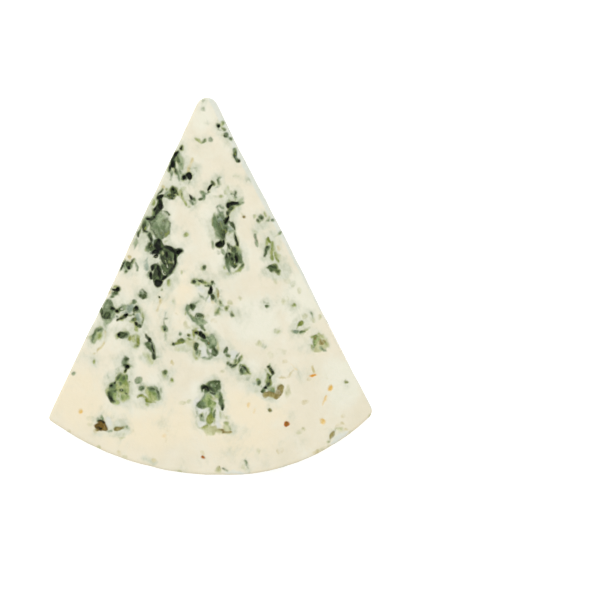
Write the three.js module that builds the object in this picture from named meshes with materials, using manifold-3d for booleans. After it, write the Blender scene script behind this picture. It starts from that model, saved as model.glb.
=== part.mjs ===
// A blue cheese wedge of one piece: a flat sector of a round cheese, lying on one of its two broad cut
// faces. Millimetres, +Z up, the tip towards +Y, the rind towards -Y. The origin is the middle of the
// footprint, on the surface that the wedge lies on.
import * as THREE from 'three';
import { mergeVertices } from 'three/addons/utils/BufferGeometryUtils.js';
import Module from 'manifold-3d';

const wasm = await Module();
wasm.setup();

// ---- driving dimensions ---------------------------------------------------------------------------
const LENGTH = 80; // from the tip to the rind's lowest point
const THICKNESS = 32; // between the two broad faces
const HALF_ANGLE = THREE.MathUtils.degToRad(26.1); // between the middle line and each cut side
const TIP_RADIUS = 2.5; // in plan, where the cut sides meet
const LEFT_RIND_RADIUS = 64; // in plan, from the left corner to the rind's lowest point
const RIGHT_RIND_RADIUS = 44; // from there to the right corner
const LOWEST_ACROSS = 3.3; // of the rind's lowest point, to the right of the middle line
const LEFT_CORNER_RADIUS = 1.0; // in plan, between the left side and the rind
const RIGHT_CORNER_RADIUS = 2.0;
const EDGE_ROUNDING = 0.9; // along the rims of both broad faces
const EDGE_STEPS = 2;

const TIP_STEPS = 6;
const CORNER_STEPS = 4;
const RIND_STEPS = 18; // on each side of the lowest point

// ---- relief ---------------------------------------------------------------------------------------
const CRUMB_DETAIL_FROM = [0, 2.0, 4.4]; // pocket sizes at which its icosahedron gets one step finer
const CRUMB_UNEVENNESS = 0.16; // share of a pocket's radius that its wall wanders
const MOUTH_LIFT = 0.12; // share of its depth that a pocket's widest section lies outside the face
const SMALLEST_POCKET = 1.2;
const LARGEST_POCKET = 5.6;
const FLATTEST_POCKET = 0.6; // height over width
const POCKET_MARGIN = 3.0; // between a scattered pocket's middle and the nearest rim

// Pockets of the upper face, by hand: across from the middle line, down from the tip, width across,
// height along the wedge, depth, and turn in degrees about +Z.
const FACE_POCKETS = [
  { across: 2.7, down: 6.1, width: 2.0, height: 1.6, depth: 0.8, turn: 0 },
  { across: -7.0, down: 13.6, width: 2.6, height: 6.6, depth: 1.4, turn: -22 },
  { across: -4.6, down: 17.0, width: 2.5, height: 1.6, depth: 1.5, turn: 18 },
  { across: -7.8, down: 19.9, width: 3.2, height: 2.3, depth: 1.0, turn: 0 },
  { across: -10.3, down: 22.2, width: 2.0, height: 4.4, depth: 1.6, turn: -12 },
  { across: -10.1, down: 26.8, width: 3.9, height: 5.4, depth: 1.0, turn: 0 },
  { across: -10.2, down: 31.6, width: 4.2, height: 3.0, depth: 2.2, turn: 0 },
  { across: -7.4, down: 33.6, width: 2.0, height: 4.6, depth: 2.0, turn: -12 },
  { across: -10.9, down: 37.3, width: 2.8, height: 3.8, depth: 1.8, turn: 10 },
  { across: -17.2, down: 35.2, width: 2.6, height: 2.4, depth: 1.2, turn: 30 },
  { across: -19.9, down: 40.6, width: 2.0, height: 2.8, depth: 1.3, turn: 0 },
  { across: -21.4, down: 45.0, width: 2.9, height: 4.6, depth: 1.2, turn: -8 },
  { across: -17.9, down: 45.2, width: 3.8, height: 2.2, depth: 1.1, turn: 12 },
  { across: -24.2, down: 50.0, width: 2.2, height: 3.4, depth: 1.2, turn: -18 },
  { across: -18.4, down: 50.0, width: 2.5, height: 1.5, depth: 1.2, turn: 0 },
  { across: -12.9, down: 52.2, width: 1.3, height: 3.4, depth: 1.1, turn: 16 },
  { across: 2.6, down: 26.2, width: 3.3, height: 5.6, depth: 1.3, turn: 6 },
  { across: 4.8, down: 22.8, width: 3.4, height: 1.7, depth: 1.2, turn: 18 },
  { across: 2.5, down: 31.2, width: 2.1, height: 1.7, depth: 1.8, turn: 0 },
  { across: 4.7, down: 34.4, width: 3.3, height: 5.0, depth: 1.6, turn: 0 },
  { across: 13.2, down: 36.2, width: 2.4, height: 1.2, depth: 1.0, turn: -12 },
  { across: 0.1, down: 41.2, width: 1.4, height: 1.8, depth: 1.4, turn: 0 },
  { across: -1.6, down: 46.1, width: 3.0, height: 2.4, depth: 0.9, turn: 20 },
  { across: -1.6, down: 50.4, width: 2.1, height: 1.6, depth: 1.8, turn: -25 },
  { across: -1.0, down: 53.2, width: 4.4, height: 3.2, depth: 1.2, turn: -10 },
  { across: 7.0, down: 57.5, width: 1.9, height: 1.8, depth: 1.4, turn: -30 },
  { across: -19.4, down: 61.6, width: 4.2, height: 5.6, depth: 1.9, turn: 10 },
  { across: -12.4, down: 62.8, width: 4.2, height: 3.5, depth: 1.9, turn: 0 },
  { across: 0.3, down: 61.4, width: 3.8, height: 2.6, depth: 2.6, turn: 8 },
  { across: 0.6, down: 65.6, width: 4.2, height: 4.6, depth: 1.7, turn: 0 },
  { across: 1.4, down: 69.8, width: 4.8, height: 2.4, depth: 1.2, turn: -8 },
  { across: 12.4, down: 59.6, width: 1.6, height: 4.6, depth: 1.3, turn: 4 },
  { across: 12.9, down: 62.6, width: 3.8, height: 1.6, depth: 1.0, turn: 12 },
  { across: 9.8, down: 60.6, width: 1.8, height: 1.4, depth: 0.9, turn: 0 },
  { across: -23.4, down: 69.2, width: 2.8, height: 2.8, depth: 1.5, turn: 0 },
  { across: 23.2, down: 52.4, width: 3.3, height: 3.8, depth: 1.0, turn: 0 },
  { across: -17.6, down: 56.4, width: 2.0, height: 2.8, depth: 1.4, turn: 0 },
  { across: 26.8, down: 71.9, width: 3.0, height: 2.6, depth: 1.8, turn: 30 },
];

// Pockets scattered over the other faces: how many, the share of the wedge's length at the tip that
// they leave plain, and their depth as a share of their width. Those of the rind are small.
const SIDE_POCKETS = 22;
const BACK_POCKETS = 20;
const RIND_POCKETS = 8;
const PLAIN_TIP = 0.16;
const BACK_END = 0.96; // share of the length that the lower face's pockets reach
const SCATTER_DEPTH = 0.42;
const RIND_DEPTH = 0.3;
const RIND_POCKET_SCALE = 0.55;

const PASTE = new THREE.MeshStandardMaterial({ color: 0xeee9d2, roughness: 0.62, metalness: 0 });

// ---- the outline in plan --------------------------------------------------------------------------
const TIP_CENTRE_DOWN = TIP_RADIUS / Math.sin(HALF_ANGLE); // from where the cut sides would meet
const APEX_ABOVE_TIP = TIP_CENTRE_DOWN - TIP_RADIUS;
const LOWEST_ANGLE = 1.5 * Math.PI; // of the rind's lowest point, seen from the centres of its arcs

// A point of the plan, given from the sharp apex: x across, y down.
const fromApex = (across, down) => new THREE.Vector2(across, APEX_ABOVE_TIP + LENGTH / 2 - down);
const APEX = fromApex(0, 0);

// Direction from the apex along a cut side: -1 for the left one, +1 for the right one.
const alongSide = (side) => new THREE.Vector2(side * Math.sin(HALF_ANGLE), -Math.cos(HALF_ANGLE));
const intoWedge = (side) => new THREE.Vector2(-side * Math.cos(HALF_ANGLE), -Math.sin(HALF_ANGLE));
const cornerRadius = (side) => (side < 0 ? LEFT_CORNER_RADIUS : RIGHT_CORNER_RADIUS);
const rindRadius = (side) => (side < 0 ? LEFT_RIND_RADIUS : RIGHT_RIND_RADIUS);

// The rind's two arcs touch at the lowest point, so both centres lie straight above it.
const rindCentre = (side) => fromApex(LOWEST_ACROSS, APEX_ABOVE_TIP + LENGTH - rindRadius(side));

// Centre of the circle that rounds a corner: it touches the cut side and the rind from inside.
function cornerCentre(side) {
  const radius = cornerRadius(side);
  const start = APEX.clone().addScaledVector(intoWedge(side), radius).sub(rindCentre(side));
  const direction = alongSide(side);
  const half = start.dot(direction);
  const reach = rindRadius(side) - radius;
  const run = -half + Math.sqrt(half * half - start.lengthSq() + reach * reach);
  return start.addScaledVector(direction, run).add(rindCentre(side));
}

const cornerAngle = (side) => cornerCentre(side).sub(rindCentre(side)).angle();
const sideLength = (side) => cornerCentre(side).sub(APEX).dot(alongSide(side));

function arc(centre, radius, fromAngle, toAngle, steps) {
  return Array.from({ length: steps + 1 }, (_, i) => {
    const angle = THREE.MathUtils.lerp(fromAngle, toAngle, i / steps);
    return new THREE.Vector2(Math.cos(angle), Math.sin(angle)).multiplyScalar(radius).add(centre);
  });
}

// Counter-clockwise from the right end of the tip: tip, left corner, rind, right corner.
function outline() {
  const rightSideAngle = HALF_ANGLE;
  const leftSideAngle = Math.PI - HALF_ANGLE;
  const [leftAngle, rightAngle] = [cornerAngle(-1), cornerAngle(1)];
  const tip = arc(fromApex(0, TIP_CENTRE_DOWN), TIP_RADIUS, rightSideAngle, leftSideAngle, TIP_STEPS);
  const leftCorner = arc(cornerCentre(-1), LEFT_CORNER_RADIUS, leftSideAngle, leftAngle, CORNER_STEPS);
  const leftRind = arc(rindCentre(-1), LEFT_RIND_RADIUS, leftAngle, LOWEST_ANGLE, RIND_STEPS);
  const rightRind = arc(rindCentre(1), RIGHT_RIND_RADIUS, LOWEST_ANGLE, rightAngle, RIND_STEPS);
  const fullTurn = 2 * Math.PI + rightSideAngle;
  const rightCorner = arc(cornerCentre(1), RIGHT_CORNER_RADIUS, rightAngle, fullTurn, CORNER_STEPS);
  return [...tip, ...leftCorner, ...leftRind.slice(1), ...rightRind.slice(1, -1), ...rightCorner];
}

// ---- solids ---------------------------------------------------------------------------------------
function toManifold(geometry) {
  geometry.deleteAttribute('normal');
  geometry.deleteAttribute('uv');
  const merged = mergeVertices(geometry);
  return new wasm.Manifold(new wasm.Mesh({
    numProp: 3,
    vertProperties: new Float32Array(merged.attributes.position.array),
    triVerts: new Uint32Array(merged.index.array),
  }));
}

function toGeometry(manifold) {
  const mesh = manifold.getMesh();
  const geometry = new THREE.BufferGeometry();
  geometry.setAttribute('position', new THREE.BufferAttribute(mesh.vertProperties, 3));
  geometry.setIndex(new THREE.BufferAttribute(mesh.triVerts, 1));
  geometry.computeVertexNormals();
  return geometry;
}

// The plain wedge. Its bevel grows outward, so it starts from an outline pulled in by the rounding.
function plainWedge() {
  const body = new THREE.ExtrudeGeometry(new THREE.Shape(outline()), {
    depth: THICKNESS - 2 * EDGE_ROUNDING,
    bevelEnabled: true,
    bevelThickness: EDGE_ROUNDING,
    bevelSize: EDGE_ROUNDING,
    bevelOffset: -EDGE_ROUNDING,
    bevelSegments: EDGE_STEPS,
    curveSegments: 1,
  });
  body.translate(0, 0, EDGE_ROUNDING);
  return toManifold(body);
}

// How far a crumb's wall stands from its middle in one direction: a slow wave that differs with `seed`.
function crumbReach(direction, seed) {
  const wave = Math.sin(3.1 * direction.x + 1.7 * seed) * Math.cos(2.7 * direction.y - 2.3 * seed)
    + Math.sin(4.3 * direction.y + 3.7 * direction.z + 0.9 * seed);
  return 1 + CRUMB_UNEVENNESS * wave;
}

// A crumb-shaped cutter, wide across x, high along y and reaching `depth` to each side along z.
function crumb({ width, height, depth }, seed) {
  const detail = CRUMB_DETAIL_FROM.findLastIndex((from) => Math.max(width, height) >= from);
  const geometry = new THREE.IcosahedronGeometry(1, detail);
  const position = geometry.attributes.position;
  const point = new THREE.Vector3();
  for (let i = 0; i < position.count; i += 1) {
    point.fromBufferAttribute(position, i);
    point.multiplyScalar(crumbReach(point, seed));
    position.setXYZ(i, point.x * width / 2, point.y * height / 2, point.z * depth);
  }
  return geometry;
}

// A cutter set into a face: `place` takes a crumb's own axes to the face, with z pointing out of it.
function pocketCutter(size, seed, place) {
  const geometry = crumb(size, seed);
  geometry.translate(0, 0, MOUTH_LIFT * size.depth);
  geometry.applyMatrix4(place);
  return toManifold(geometry);
}

function facePocket(pocket, seed) {
  const at = fromApex(pocket.across, APEX_ABOVE_TIP + pocket.down);
  const place = new THREE.Matrix4().makeTranslation(at.x, at.y, THICKNESS);
  place.multiply(new THREE.Matrix4().makeRotationZ(THREE.MathUtils.degToRad(pocket.turn)));
  return pocketCutter(pocket, seed, place);
}

// ---- the scattered pockets ------------------------------------------------------------------------
// Evenly spread numbers between 0 and 1, one sequence for each coordinate of a scattered pocket.
const SPREAD = { along: 0.7548776662, up: 0.5698402910, size: 0.6180339887, shape: 0.4142135624 };
const spread = (kind, index) => (0.5 + index * SPREAD[kind]) % 1;

// Most pockets are small: the square gives few large ones.
function scatteredSize(index, scale, depthShare) {
  const share = spread('size', index) ** 2;
  const width = scale * THREE.MathUtils.lerp(SMALLEST_POCKET, LARGEST_POCKET, share);
  const squash = THREE.MathUtils.lerp(FLATTEST_POCKET, 1, spread('shape', index));
  return { width, height: width * squash, depth: width * depthShare };
}

// Axes of a pocket on an upright face: x along the face, y up, z out of it.
function uprightPlace(at, outward, height) {
  const out = new THREE.Vector3(outward.x, outward.y, 0);
  const up = new THREE.Vector3(0, 0, 1);
  const along = new THREE.Vector3().crossVectors(up, out);
  return new THREE.Matrix4().makeBasis(along, up, out).setPosition(at.x, at.y, height);
}

function heightAt(index) {
  return THREE.MathUtils.lerp(POCKET_MARGIN, THICKNESS - POCKET_MARGIN, spread('up', index));
}

function sidePockets(side) {
  const outward = intoWedge(side).negate();
  const length = sideLength(side);
  return Array.from({ length: SIDE_POCKETS }, (_, i) => {
    const index = i + (side > 0 ? SIDE_POCKETS : 0);
    const run = THREE.MathUtils.lerp(PLAIN_TIP * length, length - POCKET_MARGIN, spread('along', index));
    const at = APEX.clone().addScaledVector(alongSide(side), run);
    const size = scatteredSize(index, 1, SCATTER_DEPTH);
    return pocketCutter(size, index, uprightPlace(at, outward, heightAt(index)));
  });
}

function rindPockets() {
  return Array.from({ length: RIND_POCKETS }, (_, i) => {
    const share = (i + spread('along', i)) / RIND_POCKETS;
    const angle = THREE.MathUtils.lerp(cornerAngle(-1), cornerAngle(1), share);
    const side = angle < LOWEST_ANGLE ? -1 : 1;
    const outward = new THREE.Vector2(Math.cos(angle), Math.sin(angle));
    const at = rindCentre(side).addScaledVector(outward, rindRadius(side));
    const size = scatteredSize(i, RIND_POCKET_SCALE, RIND_DEPTH);
    return pocketCutter(size, i, uprightPlace(at, outward, heightAt(i)));
  });
}

// The face that the wedge lies on: the root spreads the pockets evenly over a face that widens.
function backPockets() {
  return Array.from({ length: BACK_POCKETS }, (_, i) => {
    const share = THREE.MathUtils.lerp(PLAIN_TIP, BACK_END, Math.sqrt(spread('up', i)));
    const down = share * LENGTH;
    const halfWidth = down * Math.tan(HALF_ANGLE) - POCKET_MARGIN;
    const across = THREE.MathUtils.lerp(-halfWidth, halfWidth, spread('along', i));
    const at = fromApex(across, down);
    const place = new THREE.Matrix4().makeRotationX(Math.PI).setPosition(at.x, at.y, 0);
    return pocketCutter(scatteredSize(i, 1, SCATTER_DEPTH), i, place);
  });
}

// ---- the wedge ------------------------------------------------------------------------------------
function cheeseWedge() {
  const cutters = [
    ...FACE_POCKETS.map(facePocket),
    ...sidePockets(-1),
    ...sidePockets(1),
    ...rindPockets(),
    ...backPockets(),
  ];
  const carved = cutters.reduce((solid, cutter) => solid.subtract(cutter), plainWedge());
  const mesh = new THREE.Mesh(toGeometry(carved), PASTE);
  mesh.name = 'cheese_wedge';
  const footprint = new THREE.Box2().setFromPoints(outline()).getCenter(new THREE.Vector2());
  mesh.position.set(-footprint.x, -footprint.y, 0);
  return mesh;
}

const wedge = new THREE.Group();
wedge.add(cheeseWedge());

export default wedge;
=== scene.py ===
"""Dresses the blue cheese wedge: its cut paste, mould pockets, veins, eyes and rind."""

import logging
import math
from collections.abc import Iterable, Mapping, Sequence
from dataclasses import dataclass, field
from enum import Enum
from functools import cached_property

import bpy
import numpy as np
from mathutils import Matrix, Vector


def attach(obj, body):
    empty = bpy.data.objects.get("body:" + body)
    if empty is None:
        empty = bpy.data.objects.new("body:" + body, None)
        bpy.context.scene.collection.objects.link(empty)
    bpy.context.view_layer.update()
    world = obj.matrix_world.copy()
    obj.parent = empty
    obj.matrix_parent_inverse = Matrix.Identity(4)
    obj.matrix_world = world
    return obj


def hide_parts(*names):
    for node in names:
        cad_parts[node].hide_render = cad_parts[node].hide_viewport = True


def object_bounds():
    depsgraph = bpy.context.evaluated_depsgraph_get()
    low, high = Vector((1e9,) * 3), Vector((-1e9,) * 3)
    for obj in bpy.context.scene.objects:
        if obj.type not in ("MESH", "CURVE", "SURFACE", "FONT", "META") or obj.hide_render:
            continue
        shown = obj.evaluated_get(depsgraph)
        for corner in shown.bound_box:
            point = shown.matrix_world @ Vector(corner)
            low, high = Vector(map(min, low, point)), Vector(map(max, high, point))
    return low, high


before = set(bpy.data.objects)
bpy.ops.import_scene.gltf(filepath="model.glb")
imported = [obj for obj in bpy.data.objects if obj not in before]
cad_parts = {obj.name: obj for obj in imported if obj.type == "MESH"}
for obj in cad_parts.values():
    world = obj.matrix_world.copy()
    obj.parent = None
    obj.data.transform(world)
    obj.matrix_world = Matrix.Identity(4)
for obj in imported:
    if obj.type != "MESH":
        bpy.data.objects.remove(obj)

CAD_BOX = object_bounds()
MM = 0.001
LOG = logging.getLogger("cheese")
Array = np.ndarray
Rgb = tuple[int, int, int]
Waves = tuple[tuple[float, float], ...]  # strength and cell of each noise in a sum
TINY = 1e-6  # keeps a division clear of zero
STRETCH = 4.0  # a streak's length over its width


# ---- shader maths ---------------------------------------------------------------------------------


@dataclass(frozen=True)
class Signal:
    """A number that changes over the surface, written with Python's operators."""

    sheet: "NodeSheet"
    socket: bpy.types.NodeSocket

    def __add__(self, other: "Signal | float") -> "Signal":
        """Sum."""
        return self.sheet.math("ADD", self, other)

    def __sub__(self, other: "Signal | float") -> "Signal":
        """Difference."""
        return self.sheet.math("SUBTRACT", self, other)

    def __rsub__(self, other: float) -> "Signal":
        """Difference from a number."""
        return self.sheet.math("SUBTRACT", other, self)

    def __mul__(self, other: "Signal | float") -> "Signal":
        """Product."""
        return self.sheet.math("MULTIPLY", self, other)

    __radd__ = __add__
    __rmul__ = __mul__

    def clamp(self) -> "Signal":
        """The same signal held between 0 and 1."""
        return self.sheet.ramp(self, 0.0, 1.0, smooth=False)


class NodeSheet:
    """A material under construction."""

    UNIT = 8.0  # brings the noise node's spread to about one

    def __init__(self, name: str) -> None:
        """Starts an empty material.

        Args:
            name: the material's name.
        """
        self.material = bpy.data.materials.new(name)
        self.material.use_nodes = True
        self.tree = self.material.node_tree
        self.tree.nodes.clear()

    def node(
        self, kind: str, settings: Mapping[str, object], sockets: Mapping[object, object]
    ) -> bpy.types.Node:
        """Adds any node.

        Args:
            kind: the node's type.
            settings: its properties, set first.
            sockets: input name or index to a Signal, a socket or a value.

        Returns:
            The new node.
        """
        made = self.tree.nodes.new(kind)
        for key, value in settings.items():
            setattr(made, key, value)
        for key, value in sockets.items():
            target = made.inputs[key]
            source = value.socket if isinstance(value, Signal) else value
            if isinstance(source, bpy.types.NodeSocket):
                self.tree.links.new(source, target)
            else:
                target.default_value = source
        return made

    def math(self, operation: str, *terms: "Signal | float") -> Signal:
        """Adds one Math node.

        Args:
            operation: the Math node's operation.
            terms: its inputs in order.

        Returns:
            The result.
        """
        made = self.node("ShaderNodeMath", {"operation": operation}, dict(enumerate(terms)))
        return Signal(self, made.outputs[0])

    def ramp(self, signal: Signal, low: float, high: float, smooth: bool = True) -> Signal:
        """Takes a signal from 0 at one value to 1 at another.

        Args:
            signal: what is mapped.
            low: where the result is 0.
            high: where it is 1.
            smooth: eased at both ends.

        Returns:
            A signal between 0 and 1.
        """
        shape = "SMOOTHSTEP" if smooth else "LINEAR"
        made = self.node(
            "ShaderNodeMapRange",
            {"interpolation_type": shape, "clamp": True},
            {"Value": signal, "From Min": low, "From Max": high},
        )
        return Signal(self, made.outputs["Result"])

    def attribute(self, name: str) -> Signal:
        """A number stored on the mesh's points."""
        made = self.node("ShaderNodeAttribute", {"attribute_name": name}, {})
        return Signal(self, made.outputs["Fac"])

    def place(self) -> bpy.types.NodeSocket:
        """Where a point lies on the object."""
        return self.node("ShaderNodeTexCoord", {}, {}).outputs["Object"]

    def noise(
        self,
        size_mm: float,
        detail: float = 2.0,
        roughness: float = 0.5,
        seed: float = 0.0,
        place: bpy.types.NodeSocket | None = None,
    ) -> Signal:
        """Noise around 0 of about unit strength.

        Args:
            size_mm: width of its largest patches.
            detail: octaves added.
            roughness: strength of the finer octaves.
            seed: another value gives another pattern.
            place: where it is read, if not at the point itself.

        Returns:
            The centred noise.
        """
        sockets = {"Vector": place or self.place(), "W": seed, "Scale": 1 / (size_mm * MM)}
        sockets |= {"Detail": detail, "Roughness": roughness}
        made = self.node("ShaderNodeTexNoise", {"noise_dimensions": "4D"}, sockets)
        return (Signal(self, made.outputs["Fac"]) - 0.5) * self.UNIT

    def streaks(self, size_mm: float, turn: float, seed: float) -> Signal:
        """Noise drawn out along a level direction.

        Args:
            size_mm: width of its streaks.
            turn: the direction, in radians from the right.
            seed: another value gives another pattern.

        Returns:
            The centred noise.
        """
        mapping = {"Vector": self.place(), "Rotation": (0, 0, turn), "Scale": (STRETCH, 1, 1)}
        turned = self.node("ShaderNodeMapping", {"vector_type": "TEXTURE"}, mapping)
        return self.noise(size_mm, roughness=0.55, seed=seed, place=turned.outputs["Vector"])

    def mix(self, under: object, over: object, share: "Signal | float") -> bpy.types.NodeSocket:
        """Lays one colour over another.

        Args:
            under: colour or colour socket where the share is 0.
            over: colour or colour socket where it is 1.
            share: how much of the second shows.

        Returns:
            The mixed colour's socket.
        """
        made = self.node("ShaderNodeMix", {"data_type": "RGBA"}, {0: share, 6: under, 7: over})
        return made.outputs[2]


def srgb(red: int, green: int, blue: int) -> tuple[float, float, float, float]:
    """A display colour as the linear colour that shaders take.

    Args:
        red: 0 to 255.
        green: 0 to 255.
        blue: 0 to 255.

    Returns:
        Linear red, green, blue and an alpha of 1.
    """

    def linear(level: int) -> float:
        """One channel."""
        share = level / 255
        return share / 12.92 if share <= 0.04045 else ((share + 0.055) / 1.055) ** 2.4

    return (linear(red), linear(green), linear(blue), 1.0)


# ---- seeded noise on arrays -----------------------------------------------------------------------

SPARE = 6  # lattice points past the reach, for the spline and for bent places


def spline_weights(offset: Array) -> list[Array]:
    """Cubic B-spline weights of the four lattice points round a place.

    Args:
        offset: how far the place is past the second point, 0 to 1.

    Returns:
        Four arrays of weights.
    """
    t = offset
    return [
        (1 - t) ** 3 / 6,
        (3 * t**3 - 6 * t**2 + 4) / 6,
        (-3 * t**3 + 3 * t**2 + 3 * t + 1) / 6,
        t**3 / 6,
    ]


@dataclass(frozen=True)
class Lattice:
    """Smooth seeded noise of about unit strength, in millimetres."""

    seed: int
    cell: float
    reach: float = 48.0
    spread: float = 0.332  # what the spline leaves of a unit noise in 3-D

    LEVELS = 24  # most layers of the lattice, which repeats above them

    def values(self) -> Array:
        """The random lattice."""
        count = int(2 * self.reach / self.cell) + SPARE
        shape = (count, count, min(count, self.LEVELS))
        return np.random.default_rng(self.seed).standard_normal(shape).astype(np.float32) / self.spread

    def split(self, places: Array) -> tuple[Array, Array]:
        """Lattice index before each place, and how far past it the place is."""
        scaled = (places + self.reach) / self.cell + 1
        index = np.floor(scaled).astype(int)
        return index, scaled - index

    def on_axes(self, axes: Sequence[Array]) -> Array:
        """The noise on a whole grid.

        Args:
            axes: the grid's x, y and z coordinates.

        Returns:
            A 3-D array.
        """
        grid = np.moveaxis(self.values(), 2, 0)
        for axis in (axes[2], axes[0], axes[1]):
            index, offset = self.split(axis)
            weights = np.zeros((len(axis), grid.shape[0]), np.float32)
            rows = np.arange(len(axis))
            for step, weight in enumerate(spline_weights(offset)):
                weights[rows, (index - 1 + step) % grid.shape[0]] += weight
            grid = np.moveaxis(np.tensordot(weights, grid, axes=(1, 0)), 0, -1)
        return np.moveaxis(grid, 0, -1)

    def at(self, points: Array) -> Array:
        """The noise at loose points.

        Args:
            points: rows of x, y, z.

        Returns:
            One value a row.
        """
        grid = self.values()
        index, offset = self.split(points)
        sides = [spline_weights(offset[:, i]) for i in range(3)]
        total = np.zeros(len(points))
        for i in range(4):
            for j in range(4):
                near = sides[0][i] * sides[1][j]
                ix = (index[:, 0] - 1 + i) % grid.shape[0]
                iy = (index[:, 1] - 1 + j) % grid.shape[1]
                for k in range(4):
                    iz = (index[:, 2] - 1 + k) % grid.shape[2]
                    total += near * sides[2][k] * grid[ix, iy, iz]
        return total


@dataclass(frozen=True)
class FlatLattice:
    """Smooth seeded noise of about unit strength on a plane, in millimetres."""

    seed: int
    cell: float
    reach: float = 60.0
    spread: float = 0.479  # what the spline leaves of a unit noise in 2-D

    def at(self, x: Array, y: Array) -> Array:
        """The noise at loose places.

        Args:
            x: places across.
            y: places along, of the same shape.

        Returns:
            Values of that shape.
        """
        count = int(2 * self.reach / self.cell) + SPARE
        grid = np.random.default_rng(self.seed).standard_normal((count, count)) / self.spread
        scaled = [(axis + self.reach) / self.cell + 1 for axis in (x, y)]
        index = [np.floor(axis).astype(int) for axis in scaled]
        weights = [spline_weights(axis - whole) for axis, whole in zip(scaled, index)]
        total = np.zeros(x.shape)
        for i in range(4):
            for j in range(4):
                near = grid[index[0] - 1 + i, index[1] - 1 + j]
                total += weights[0][i] * weights[1][j] * near
        return total


def ease(values: Array, low: float, high: float) -> Array:
    """Smooth step from 0 at one value to 1 at another."""
    t = np.clip((values - low) / (high - low), 0, 1)
    return t * t * (3 - 2 * t)


def line(values: Array, slope_and_start: tuple[float, float]) -> Array:
    """Grows steadily with the values."""
    slope, start = slope_and_start
    return slope * values + start


# ---- the plan -------------------------------------------------------------------------------------


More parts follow.
